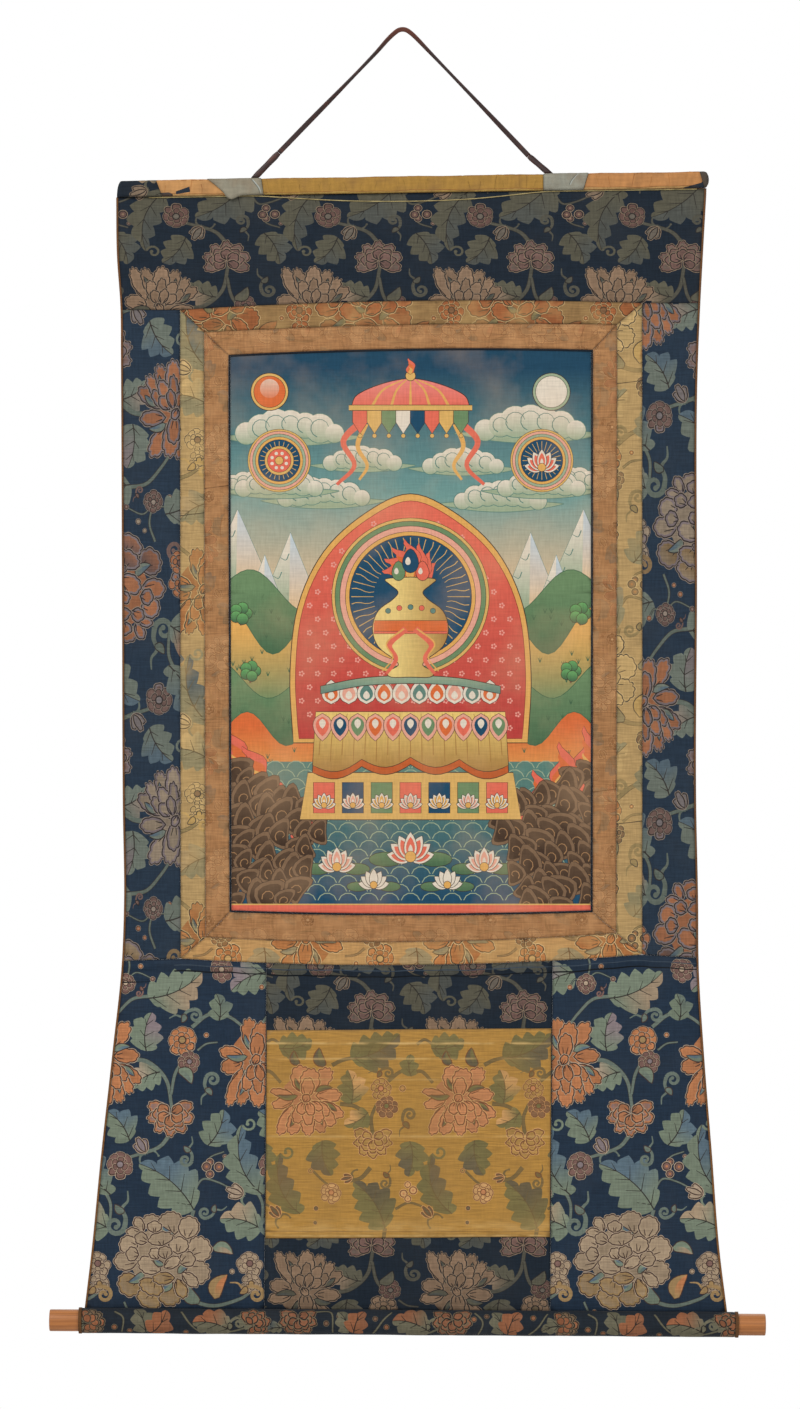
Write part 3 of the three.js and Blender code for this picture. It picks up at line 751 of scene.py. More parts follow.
class BrocadeRepeat:
    """A peony and vine repeat, drawn once in yarns about its long-petalled peony, x to the right and z up."""

    line_width: float = 1.45
    rim_width: float = 0.75
    band_width: float = 2.2
    ruffle: float = 8.0
    small: float = 13.0

    def __init__(self, stems: Sequence[Stem], sprouts: Sequence[Sprout], height: float,
                 width: float = 190.0) -> None:
        """Draw the repeat.

        Args:
            stems: its stems.
            sprouts: its flowers and leaves, from the back to the front.
            height: how far up it starts again.
            width: how far across it starts again.
        """
        self.height = height
        self.width = width
        self.random = np.random.default_rng(7)
        self.pen = Drawing()
        for stem in stems:
            path = smooth_path([complex(x, -y) for x, y in stem.places], 7)
            self.pen.stroke(path, stem.width, stem.width * 0.7, STEM, VEIN)
        makers: dict[Motif, Callable[[Sprout, complex, complex], None]] = {
            FULL_PEONY: self.full_peony, LONG_PEONY: self.long_peony,
            HALF_PEONY: self.half_peony, LEAF: self.leaf, SLIM_LEAF: self.slim_leaf,
            ROSETTE: self.rosette, BERRIES: self.berries, CURL: self.curl,
            SPRIG: self.sprig,
        }
        for sprout in sprouts:
            turn = np.exp(1j * math.radians(sprout.points))
            makers[sprout.motif](sprout, complex(sprout.across, -sprout.down), turn)
        self.pen.cull()

    def petal(self, base: complex, turn: complex, length: float, width: float, yarn: Yarn,
              tip: Optional[Yarn] = None) -> None:
        """Draw one ruffled petal: a pale edge, a dark line inside it, a rim and the body.

        Args:
            base: where it grows from.
            turn: the way it points, of length one.
            length: from base to edge.
            width: across its broadest part.
            yarn: its main yarn.
            tip: the yarn that it turns to at its edge.
        """
        width = width * self.random.uniform(0.9, 1.16)
        large = length > self.small
        ruffles = round((length + width) / self.ruffle) if large else 0
        u = np.linspace(-1, 1, 4 * ruffles + 9)
        warped = u + 0.08 * np.sin(3 * u + self.random.uniform(0, 6.3))
        wave = np.abs(np.sin(np.pi * ruffles * (warped + 1) / 2)) ** 0.6 if ruffles else np.ones(u.size)
        reach = 1 - self.random.uniform(0.15, 0.24) * np.clip(1.8 * (1 - np.abs(u)), 0, 1) * (1 - wave)
        rounded = reach * (0.46 * length * np.cos(0.84 * np.pi * u) + 0.5j * width * np.sin(0.84 * np.pi * u))
        outline = np.concatenate([[-0.53 * length], rounded])
        middle = base + turn * 0.55 * length
        shade = self.random.uniform(0.82, 1.05)
        body = yarn if tip is None else Dye(yarn, tip, base + 0.35 * length * turn, base + length * turn)
        fine = 1.0 if large else 0.65
        line_at, rim_at = self.rim_width * fine, (self.rim_width + self.line_width) * fine
        layers = [(0, PALE, 1.0), (line_at, LINE, 1.0), (rim_at, body, shade)]
        if large and width > self.small:
            layers[2:] = [(rim_at, Rim(yarn), 1.07 * shade), (rim_at + self.band_width, body, 0.97 * shade)]
        for inset, fill, tone in layers:
            long_share = max(1 - inset / (0.46 * length), 0.3)
            wide_share = max(1 - inset / (0.47 * width), 0.3)
            shrunk = outline.real * long_share + 1j * outline.imag * wide_share
            self.pen.add(middle + turn * shrunk, fill, tone)
        if large and width > self.small:
            for side in self.random.uniform(0.18, 0.4) * np.array([-1, 1]):
                stop = self.random.uniform(0.42, 0.6)
                vein = base + turn * np.linspace(0.2, stop, 3) * length * np.exp(1j * side)
                self.pen.stroke(vein, 1.5, 0.8, LINE)

    def petals(self, centre: complex, turn: complex, rows: Sequence[tuple], size: float,
               yarns: tuple) -> None:
        """Draw rings of petals from the outermost inwards, longer where they hang.

        Args:
            centre: the flower's middle.
            turn: the way it points.
            rows: for each ring its count, and where its petals start, their length and their width as shares
                of the size.
            size: the flower's radius.
            yarns: the petals' main yarn, and the one that the lowest petals turn to.
        """
        for ring, (count, start, length, width) in enumerate(rows):
            for i in range(count):
                angle = 2 * np.pi * (i + 0.5 * (ring % 2)) / count + self.random.uniform(-0.2, 0.2)
                way = turn * np.exp(1j * angle)
                reach = size * length * self.random.uniform(0.86, 1.14) * (1 - 0.12 * way.imag)
                tip = yarns[1] if way.imag < -0.6 else None
                self.petal(centre + way * start * size, way, reach, size * width, yarns[0], tip)

    def flower(self, sprout: Sprout, at: complex, turn: complex, rows: Sequence[Petal], radius: float,
               fullness: float = 1.0) -> None:
        """Draw a charted flower over a round ground, stretched upwards as its sprout says.

        Args:
            sprout: the flower's size and yarns.
            at: its middle.
            turn: the way it points.
            rows: its petals and sepals, from the back to the front.
            radius: its radius in the chart.
            fullness: how much broader than in the chart its petals are.
        """
        share = sprout.size / radius
        tall = complex(share, share * sprout.stretch)

        def stretched(way: complex) -> complex:
            """Stretch a step of the chart."""
            return complex(way.real * tall.real, way.imag * tall.imag)

        ground = circle(0j, 0.66 * radius)
        self.pen.add(at + ground.real * tall.real + 1j * ground.imag * tall.imag, sprout.yarn, 0.8)
        for row in rows:
            base = at + stretched(complex(row.across, -row.down))
            way = turn * np.exp(1j * math.radians(row.points))
            reach = stretched(way * row.length)
            across = abs(stretched(1j * way * row.width))
            if row.part == SEPAL:
                self.blade(base, reach / abs(reach), abs(reach), across, (sprout.second, BLUE), edged=True)
            else:
                yarns = (GOLD, sprout.yarn) if row.part == GOLDEN else (sprout.yarn, None)
                self.petal(base, reach / abs(reach), abs(reach), fullness * across, *yarns)

    def full_peony(self, sprout: Sprout, at: complex, turn: complex) -> None:
        """Draw a full round peony, with a few leaflets among its petals."""
        self.flower(sprout, at, turn, FULL_FLOWER, 63, 1.34)

    def long_peony(self, sprout: Sprout, at: complex, turn: complex) -> None:
        """Draw a peony seen from the side, with long outer petals parted by slim sepals."""
        self.flower(sprout, at, turn, LONG_FLOWER, 50)

    def half_peony(self, sprout: Sprout, at: complex, turn: complex) -> None:
        """Draw a flower seen from the side: a fan of long petals behind two shorter ones.

        Args:
            sprout: its size and yarns.
            at: where it stands.
            turn: the way it points, as a unit number.
        """
        for count, opening, share, width in ((7, 112, 1.0, 0.62), (5, 84, 0.76, 0.56), (5, 118, 0.6, 0.5)):
            tip = sprout.second if share > 0.7 else None
            for angle in np.radians(np.linspace(-opening, opening, count)):
                way = turn * np.exp(1j * angle)
                base = at - turn * 0.08 * sprout.size
                self.petal(base, way, share * sprout.size, width * sprout.size, sprout.yarn, tip)

    def blade(self, base: complex, turn: complex, length: float, width: float, yarns: tuple, lobes: int = 0,
              bend: float = 0.12, edged: bool = False) -> None:
        """Draw a leaf of two halves with its midrib and side veins.

        Args:
            base: where it grows from.
            turn: the way it points.
            length: from base to tip.
            width: across both halves.
            yarns: the yarns of its halves; the second half turns to the first one's at the base.
            lobes: how many lobes each half has.
            bend: how far the midrib bows, as a share of the length.
            edged: whether a dark line runs round it.
        """
        s = np.linspace(0, 1, 9 + 9 * lobes)
        middle = length * (s + 1j * bend * 4 * s * (1 - s))
        envelope = width / 2 * np.sin(np.pi * s ** 0.7) ** 0.7
        halves = []
        for side, phase in ((1j, 0.05), (-1j, 0.4)):
            step = np.mod(s * (lobes + 0.5) + phase + self.random.uniform(-0.08, 0.08), 1)
            bump = np.minimum(step / 0.62, (1 - step) / 0.38) ** 0.75 if lobes else np.ones(s.size)
            half = envelope * (0.42 + 0.64 * bump)
            halves.append(middle + side * half + 0.5 * half * (step - 0.4) * (lobes > 0))
        if edged:
            whole = base + turn * np.concatenate([halves[0], halves[1][::-1][1:-1]])
            self.pen.add(offset(whole, 0.8 * self.line_width), LINE)
        turned = Dye(yarns[1], yarns[0], base + turn * 0.6 * length, base + turn * 0.1 * length)
        for edge, fill in zip(halves, (yarns[0], turned)):
            shade = self.random.uniform(0.9, 1.08)
            self.pen.add(base + turn * np.concatenate([edge, middle[::-1][1:-1]]), fill, shade)
        if not edged:
            self.pen.stroke(base + turn * middle, 1.6, 0.7, VEIN)
        for k in range(lobes):
            for edge in halves:
                at = int((k + 0.3) / (lobes + 0.5) * s.size)
                tip = min(at + 6, s.size - 2)
                vein = np.linspace(middle[at], 0.3 * middle[tip] + 0.7 * edge[tip], 4)
                self.pen.stroke(base + turn * vein, 1.1, 0.6, VEIN)

    def leaf(self, sprout: Sprout, at: complex, turn: complex) -> None:
        """Draw a broad lobed leaf, a large one with a small curl at its base.

        Args:
            sprout: its size and yarns.
            at: where it stands.
            turn: the way it points, as a unit number.
        """
        lobes = 2 if sprout.size < 36 else 3 if sprout.size < 60 else 4
        width = sprout.size * (1.0 if sprout.size < 60 else 0.8)
        bend = 0.1 if sprout.across % 2 else -0.1
        self.blade(at, turn, sprout.size * 1.06, width, (sprout.yarn, sprout.second), lobes, bend)
        if sprout.size >= 60:
            self.spiral(at + turn * 0.12 * sprout.size, turn * np.exp(-1.9j), 7, sprout.yarn)

    def slim_leaf(self, sprout: Sprout, at: complex, turn: complex) -> None:
        """Draw a slim bent leaf, a large one with lobes and a curl at its tip.

        Args:
            sprout: its size and yarns.
            at: where it stands.
            turn: the way it points, as a unit number.
        """
        lobes = 4 if sprout.size > 50 else 0
        yarns = (sprout.yarn, sprout.second)
        self.blade(at, turn, sprout.size, sprout.size * 0.5, yarns, lobes, 0.17, lobes == 0)
        if sprout.size > 50:
            self.spiral(at + turn * 0.98 * sprout.size, turn * 1j, 9, sprout.yarn)

    def rosette(self, sprout: Sprout, at: complex, turn: complex) -> None:
        """Draw a small round flower of two rings.

        Args:
            sprout: its size and yarns.
            at: where it stands.
            turn: the way it points, as a unit number.
        """
        rows = ((8, 0.34, 0.72, 0.82), (6, 0.1, 0.55, 0.62))
        self.petals(at, turn, rows, sprout.size * 1.1, (sprout.yarn, sprout.yarn))
        self.pen.disc(at, 0.34 * sprout.size, LINE, 12)
        self.pen.disc(at, 0.24 * sprout.size, sprout.second, 12)

    def berries(self, sprout: Sprout, at: complex, turn: complex) -> None:
        """Draw a berry, or a loose bunch of them.

        Args:
            sprout: its size and yarns.
            at: where it stands.
            turn: the way it points, as a unit number.
        """
        bunch = sprout.size > 9
        for i, share in enumerate((1.0, 0.8, 1.0, 0.85) if bunch else (1.15,)):
            way = turn * np.exp(1j * (np.pi * i / 2 + self.random.uniform(-0.5, 0.5)))
            place = at + way * self.random.uniform(0.5, 0.9) * sprout.size * bunch
            for part, yarn in ((0.5, PALE), (0.43, LINE), (0.32, sprout.yarn), (0.12, sprout.second)):
                self.pen.disc(place, share * part * sprout.size, yarn, 12)

    def spiral(self, at: complex, turn: complex, size: float, yarn: Yarn) -> None:
        """Draw a tapering spiral from its open end inwards.

        Args:
            at: its open end.
            turn: the way it opens.
            size: its radius.
            yarn: its yarn.
        """
        t = np.linspace(0, 1, 14)
        path = at + turn * size * ((1 - 0.72 * t) * np.exp(2j * np.pi * 1.0 * t) - 1)
        self.pen.stroke(path, 0.34 * size, 0.3 * size, yarn)
        self.pen.disc(path[-1], 0.26 * size, yarn, 10)

    def curl(self, sprout: Sprout, at: complex, turn: complex) -> None:
        """Draw a scroll: a thick spiral head, a wavy tail and a leaflet where they meet.

        Args:
            sprout: its size and yarns.
            at: where it stands.
            turn: the way it points, as a unit number.
        """
        size = sprout.size
        t = np.linspace(0, 1, 18)
        head = (0.12 + 0.38 * t) * np.exp(1j * (-0.5 * np.pi - 2.3 * np.pi * (1 - t)))
        self.pen.stroke(at + turn * size * head, 0.16 * size, 0.28 * size, sprout.yarn)
        self.pen.disc(at + turn * size * head[0], 0.13 * size, sprout.yarn, 10)
        tail = smooth_path([0 - 0.5j, 0.5 - 0.42j, 0.95 - 0.12j, 1.4 - 0.3j, 1.9 - 0.16j], 6)
        self.pen.stroke(at + turn * size * tail, 0.28 * size, 0.07 * size, sprout.yarn)
        sprig = at + turn * size * (0.75 - 0.25j)
        yarns = (sprout.yarn, sprout.yarn)
        self.blade(sprig, turn * np.exp(1.1j), 0.6 * size, 0.34 * size, yarns, edged=True)

    def sprig(self, sprout: Sprout, at: complex, turn: complex) -> None:
        """Draw a bud of three slim petals held by two curled sepals.

        Args:
            sprout: its size and yarns.
            at: where it stands.
            turn: the way it points, as a unit number.
        """
        base = at - turn * 0.45 * sprout.size
        t = np.linspace(0, 1, 10)
        for side in (-1, 1):
            path = base + turn * sprout.size * 0.75 * t * np.exp(1j * side * (0.75 + 1.5 * t))
            self.pen.stroke(path, 4.2, 1.6, sprout.second)
            self.pen.disc(path[-1], 1.5, sprout.second, 10)
        for angle in (-0.42, 0.42, 0.0):
            way = turn * np.exp(1j * angle)
            self.petal(base, way, sprout.size * (0.95 if angle else 1.15), 0.46 * sprout.size, sprout.yarn)


class Lie(Enum):
    """How a piece's pattern lies."""

    UPRIGHT = "upright"
    TURNED = "turned upside down"
    FLIPPED = "reverse face out, mirrored from top to bottom"


@dataclass(frozen=True)
class Cutting:
    """How a piece is cut from a brocade: where the repeat's first peony falls and how the pattern lies.

    Each entry of rewoven names a row, counted upwards from that peony, and a yarn with the one woven in
    its place.
    """

    colours: Colourway
    peony: complex
    lie: Lie = Lie.UPRIGHT
    scale: float = 1.0
    squeeze: float = 1.0
    rewoven: tuple[tuple[int, Yarn, Yarn], ...] = ()

    def laid(self, outline: Points) -> Points:
        """Turn an outline of the repeat as the piece's pattern lies.

        Args:
            outline: the outline.

        Returns:
            The turned outline.
        """
        across, up = outline.real * self.scale, outline.imag * self.scale * self.squeeze
        if self.lie == Lie.FLIPPED:
            return across - 1j * up
        return (across + 1j * up) * (-1 if self.lie == Lie.TURNED else 1)

    def colour(self, yarn: Yarn, row: int) -> str:
        """Give a yarn's colour in a row."""
        others = {(at, old): new for at, old, new in self.rewoven}
        return self.colours.of(others.get((row, yarn), yarn))

    def dyed(self, shape: Shape, origin: complex, row: int) -> Fill:
        """Give the colour of a shape of the repeat, laid about an origin in a row.

        Args:
            shape: the shape.
            origin: where its repeat lies.
            row: the repeat's row.

        Returns:
            The colour.
        """
        if isinstance(shape.fill, Rim):
            return Fill(self.colours.rim or self.colour(shape.fill.yarn, row), shade=shape.shade)
        if not isinstance(shape.fill, Dye):
            return Fill(self.colour(shape.fill, row), shade=shape.shade)
        start, end = origin + self.laid(np.array([shape.fill.start, shape.fill.end]))
        colour, toward = (self.colour(yarn, row) for yarn in (shape.fill.yarn, shape.fill.toward))
        return Fill(colour, toward, start, end, shape.shade)

    def drawn(self, repeat: BrocadeRepeat, low: complex, high: complex) -> Drawing:
        """Lay the repeat over a piece.

        Args:
            repeat: the brocade's repeat.
            low: the piece's lowest corner.
            high: the piece's highest corner.

        Returns:
            The drawing in this cloth's colours.
        """
        pitch = complex(repeat.width, repeat.height * self.squeeze) * self.scale
        drawing = Drawing()
        columns = range(math.floor((low.real - self.peony.real) / pitch.real) - 1,
                        math.ceil((high.real - self.peony.real) / pitch.real) + 2)
        rows = range(math.floor((low.imag - self.peony.imag) / pitch.imag) - 1,
                     math.ceil((high.imag - self.peony.imag) / pitch.imag) + 2)
        for row in rows:
            for column in columns:
                origin = self.peony + complex(column * pitch.real, row * pitch.imag)
                for shape in repeat.pen.shapes:
                    outline = origin + self.laid(shape.outline)
                    inside = (outline.real.max() > low.real and outline.real.min() < high.real
                              and outline.imag.max() > low.imag and outline.imag.min() < high.imag)
                    if inside:
                        fill = self.dyed(shape, origin, row)
                        drawing.shapes.append(Shape(outline, fill, 1.0, shape.seen))
        return drawing


# Sheets of cloth


def edge_distance(points: Points, loop: Points) -> np.ndarray:
    """Measure how far points are from a closed outline.

    Args:
        points: the places to measure.
        loop: the outline.

    Returns:
        One distance for each point.
    """
    start = loop[None, :]
    line = (np.roll(loop, -1) - loop)[None, :]
    found = []
    for part in np.array_split(points, max(1, points.size // 4000)):
        share = ((part[:, None] - start) * np.conj(line)).real / np.maximum(np.abs(line) ** 2, 1e-12)
        nearest = start + np.clip(share, 0, 1) * line
        found.append(np.abs(part[:, None] - nearest).min(axis=1))
    return np.concatenate(found)


@dataclass(frozen=True)
class Patch:
    """Four edges of a sewn piece: left and right give x at a height, top and bottom z at a place across."""

    left: Edge
    right: Edge
    top: Edge
    bottom: Edge
    gap: float = 0.03

    def at(self, across: np.ndarray, down: np.ndarray) -> Points:
        """Give places by their shares across and down the piece.

        Args:
            across: shares from left to right.
            down: shares from top to bottom.

        Returns:
            The places.
        """
        z = self.top(np.zeros_like(across)) * (1 - down) + self.bottom(np.zeros_like(across)) * down
        x = np.zeros_like(across)
        for _ in range(6):
            x = (self.left(z) + self.gap) * (1 - across) + (self.right(z) - self.gap) * across
            z = (self.top(x) - self.gap) * (1 - down) + (self.bottom(x) + self.gap) * down
        return x + 1j * z

    def loop(self, step: float) -> Points:
        """Give the outline, anticlockwise to the viewer, in steps of about the given length.

        Args:
            step: the length of a step.

        Returns:
            The outline.
        """
        corners = self.at(np.array([0.0, 0, 1, 1]), np.array([0.0, 1, 1, 0]))
        lengths = np.abs(np.roll(corners, -1) - corners)
        runs = [np.arange(n) / n for n in np.maximum(1, np.round(lengths / step)).astype(int)]
        across = np.concatenate([0 * runs[0], runs[1], 0 * runs[2] + 1, 1 - runs[3]])
        down = np.concatenate([runs[0], 0 * runs[1] + 1, 1 - runs[2], 0 * runs[3]])
        return self.at(across, down)


Place = Callable[[Points, np.ndarray], np.ndarray]


def hung(lift: float) -> Place:
    """Make the rule that puts a flat drawing on the hung cloth.

    Args:
        lift: how far the piece's middle stands towards the viewer.

    Returns:
        A function of places and of distances towards the viewer that gives points in space.
    """
    def place(points: Points, out: np.ndarray) -> np.ndarray:
        """Give points in space on the hung cloth."""
        x, z = points.real, points.imag
        return np.column_stack([x, HANG.depth(x, z) - lift - out, z])
    return place


def linked(name: str, data: bpy.types.ID) -> bpy.types.Object:
    """Make an object of its data and put it in the scene.

    Args:
        name: the object's name.
        data: its mesh, lamp or camera.

    Returns:
        The object.
    """
    made = bpy.data.objects.new(name, data)
    bpy.context.scene.collection.objects.link(made)
    return made


def smooth_piece(name: str, points: np.ndarray, faces: Sequence[Sequence[int]]) -> bpy.types.Object:
    """Make a piece that is shaded smooth.

    Args:
        name: the piece's name.
        points: its points, in millimetres.
        faces: the points of each face.

    Returns:
        The piece.
    """
    mesh = bpy.data.meshes.new(name)
    mesh.from_pydata((points * MM).tolist(), [], faces)
    mesh.polygons.foreach_set("use_smooth", np.ones(len(faces), bool))
    mesh.update()
    return linked(name, mesh)


@dataclass
class SheetMesh:
    """A closed sheet of cloth whose front faces carry a drawing, with soft edges."""

    name: str
    loop: Points
    ground: Fill
    drawing: Drawing
    place: Place
    thickness: float
    back: str
    grid: float = 9.0
    roll: float = 0.7
    roll_width: float = 1.5
    edge_shade: float = 0.55
    rings: tuple[float, ...] = (0.8, 1.8, 3.4)
    extra: Optional[Points] = None

    def inner_points(self) -> Points:
        """Give the points that the cloth needs inside its outline to follow its folds."""
        low, high = box(self.loop)
        across = np.arange(low.real, high.real, self.grid)
        down = np.arange(low.imag, high.imag, self.grid * 0.87)
        grid = across[None, :] + 1j * down[:, None]
        grid = grid + (np.arange(down.size) % 2 * self.grid / 2)[:, None]
        parts = [grid.ravel()]
        if self.extra is not None:
            parts.append(self.extra)
        points = np.concatenate(parts)
        points = points[within(points, self.loop)]
        points = points[edge_distance(points, self.loop) > self.rings[-1] + 1.2]
        for ring in self.rings:
            moved = offset(self.loop, -ring)
            kept = within(moved, self.loop)
            kept[kept] = edge_distance(moved[kept], self.loop) > 0.85 * ring
            points = np.concatenate([points, moved[kept]])
        return points

    @staticmethod
    def triangulate(loop: Points, shapes: Sequence[Shape], points: Points) -> tuple[Points, np.ndarray, list]:
        """Cut the sheet along its drawing's visible edges.

        Args:
            loop: the sheet's outline.
            shapes: the drawing.
            points: free points inside.

        Returns:
            Places, the triangles inside the outline, and the source points of each place.
        """
        centre = loop.mean()
        low, high = box(loop)
        parts = [loop]
        edges = [(i, (i + 1) % loop.size) for i in range(loop.size)]
        start = loop.size
        for shape in shapes:
            outline = shape.outline
            inside = in_box(outline, low, high)
            shown = np.ones(outline.size, bool) if shape.seen is None else shape.seen
            seen = shown & (inside | np.roll(inside, -1))
            chosen = np.nonzero(seen | np.roll(seen, 1))[0]
            number = {int(c): start + k for k, c in enumerate(chosen)}
            edges.extend((number[int(i)], number[int((i + 1) % outline.size)]) for i in np.nonzero(seen)[0])
            parts.append(outline[chosen])
            start += chosen.size
        every = np.concatenate([*parts, points]) - centre
        coords = [Vector((p.real, p.imag)) for p in every]
        face = list(range(loop.size))
        verts, _, tris, sources, _, covers = geometry.delaunay_2d_cdt(coords, edges, [face], 0, 0.004, True)
        places = np.array([complex(v[0], v[1]) for v in verts]) + centre
        return places, np.array([tri for tri, cover in zip(tris, covers) if cover]), sources

    @staticmethod
    def topmost(centres: Points, shapes: Sequence[Shape]) -> np.ndarray:
        """Find the last shape over each place, counted from one, or nought for the ground.

        Args:
            centres: the places.
            shapes: the drawing's shapes.

        Returns:
            The shapes' numbers.
        """
        top = np.zeros(centres.size, int)
        order = np.argsort(centres.real)
        across = centres.real[order]
        for number, shape in enumerate(shapes, 1):
            outline = shape.outline
            first = np.searchsorted(across, outline.real.min())
            last = np.searchsorted(across, outline.real.max())
            chosen = order[first:last]
            heights = centres.imag[chosen]
            chosen = chosen[(heights > outline.imag.min()) & (heights < outline.imag.max())]
            if chosen.size:
                top[chosen[within(centres[chosen], outline)]] = number
        return top

    @staticmethod
    def border_of(triangles: np.ndarray) -> np.ndarray:
        """Give the outline's places in order, anticlockwise.

        Args:
            triangles: the sheet's triangles.

        Returns:
            The places' numbers.
        """
        edges = np.concatenate([triangles[:, [0, 1]], triangles[:, [1, 2]], triangles[:, [2, 0]]])
        known = {(int(a), int(b)) for a, b in edges}
        after = {a: b for a, b in known if (b, a) not in known}
        start = next(iter(after))
        order = [start]
        while after[order[-1]] != start:
            order.append(after[order[-1]])
        return np.array(order)

    def build(self) -> bpy.types.Object:
        """Make the object, with its colours and its map of flat places."""
        inner = self.inner_points()
        shapes = self.drawing.shapes
        fills = [self.ground, *(shape.fill for shape in shapes)]
        places, triangles, _ = self.triangulate(self.loop, shapes, inner)
        used, triangles = np.unique(triangles, return_inverse=True)
        triangles = triangles.reshape(-1, 3)
        places = places[used]
        top = self.topmost(places[triangles].mean(axis=1), shapes)
        border = self.border_of(triangles)
        back_places, back_tris, sources = self.triangulate(places[border], (), inner)
        back_border = np.zeros(border.size, int)
        for i, source in enumerate(sources):
            for s in source:
                if s < border.size:
                    back_border[s] = i
        near = edge_distance(places, self.loop)
        sunk = self.roll * np.exp(-(near / self.roll_width) ** 2)
        front = self.place(places, self.thickness / 2 - sunk)
        back = self.place(back_places, np.full(back_places.size, -self.thickness / 2))
        after = np.roll(np.arange(border.size), -1)
        shift = len(front)
        rim = np.column_stack([border, back_border + shift, back_border[after] + shift, border[after]])
        faces = [*triangles.tolist(), *(back_tris[:, ::-1] + shift).tolist(), *rim.tolist()]
        made = smooth_piece(self.name, np.concatenate([front, back]), faces)
        self.dress_corners(made.data, places, back_places, triangles, top, fills, near)
        return made

    def dress_corners(self, mesh: bpy.types.Mesh, places: Points, back_places: Points, triangles: np.ndarray,
                      top: np.ndarray, fills: Sequence[Fill], near: np.ndarray) -> None:
        """Give each face corner its colour and its flat place.

        Args:
            mesh: the sheet's mesh.
            places: flat places of the front.
            back_places: flat places of the back.
            triangles: the front's triangles.
            top: the topmost outline over each of them.
            fills: fills of the outlines.
            near: how far each front place is from the edge.
        """
        corners = np.zeros(len(mesh.loops), int)
        mesh.loops.foreach_get("vertex_index", corners)
        flat = np.concatenate([places, back_places])[corners]
        colours = np.tile(np.array(linear(self.back)), (corners.size, 1))
        front_tops = np.repeat(top, 3)
        for index in np.unique(top):
            chosen = np.nonzero(front_tops == index)[0]
            colours[chosen] = fills[index].at(flat[chosen])
        count = triangles.size
        shade = 1 - (1 - self.edge_shade) * np.exp(-(near[corners[:count]] / 1.3) ** 2)
        colours[:count, :3] *= shade[:, None]
        attribute = mesh.color_attributes.new(THREAD_COLOUR, "FLOAT_COLOR", "CORNER")
        attribute.data.foreach_set("color", colours.astype(np.float32).ravel())
        cloth = mesh.uv_layers.new(name=CLOTH_MAP)
        cloth.data.foreach_set("uv", np.column_stack([flat.real, flat.imag]).astype(np.float32).ravel() * MM)


def fold_points(low: complex, high: complex) -> Points:
    """Give points along the creases and the folds under the painting, in a piece's box.

    Args:
        low: the box's lowest corner.
        high: the box's highest corner.

    Returns:
        The points.
    """
    rows = []
    for crease in CREASES:
        along = np.arange(-1.15 * crease.reach, 1.15 * crease.reach, 5.0)
        for step in (-1.7, -1.1, -0.55, 0, 0.55, 1.1, 1.7):
            turned = (along + 1j * step * crease.width) * np.exp(1j * math.radians(crease.tilt))
            rows.append(complex(crease.x, crease.z) + turned)
    across = np.arange(low.real, high.real, 8.0)
    seam = HANG.foot_seam(across)
    for below in (3, 6, 8.5, 11, 13, 15, 17, 19.5, 23, 28):
        rows.append(across + 1j * (seam - below))
    points = np.concatenate(rows)
    return points[in_box(points, low, high)]


# Finishes


def add_node(tree: bpy.types.NodeTree, kind: str, sockets: dict, **settings: object) -> bpy.types.Node:
    """Add a node.

    Args:
        tree: the material's node tree.
        kind: the node's type.
        sockets: for each input, by name or number, a value or the output that feeds it.
        settings: the node's own settings.

    Returns:
        The node.
    """
    node = tree.nodes.new(kind)
    for key, value in settings.items():
        setattr(node, key, value)
    for key, value in sockets.items():
        if isinstance(value, bpy.types.NodeSocket):
            tree.links.new(value, node.inputs[key])
        else:
            node.inputs[key].default_value = value
    return node


def new_tree(name: str) -> tuple[bpy.types.Material, bpy.types.NodeTree]:
    """Start a material with an empty node tree.

    Args:
        name: the material's name.

    Returns:
        The material and its node tree.
    """
    material = bpy.data.materials.new(name)
    material.use_nodes = True
    material.node_tree.nodes.clear()
    return material, material.node_tree


class Ridge(NamedTuple):
    """A painted highlight along a crease across a cloth: its height in mm, how far it spreads and how strong
    it is.
    """

    z: float
    spread: float
    strength: float


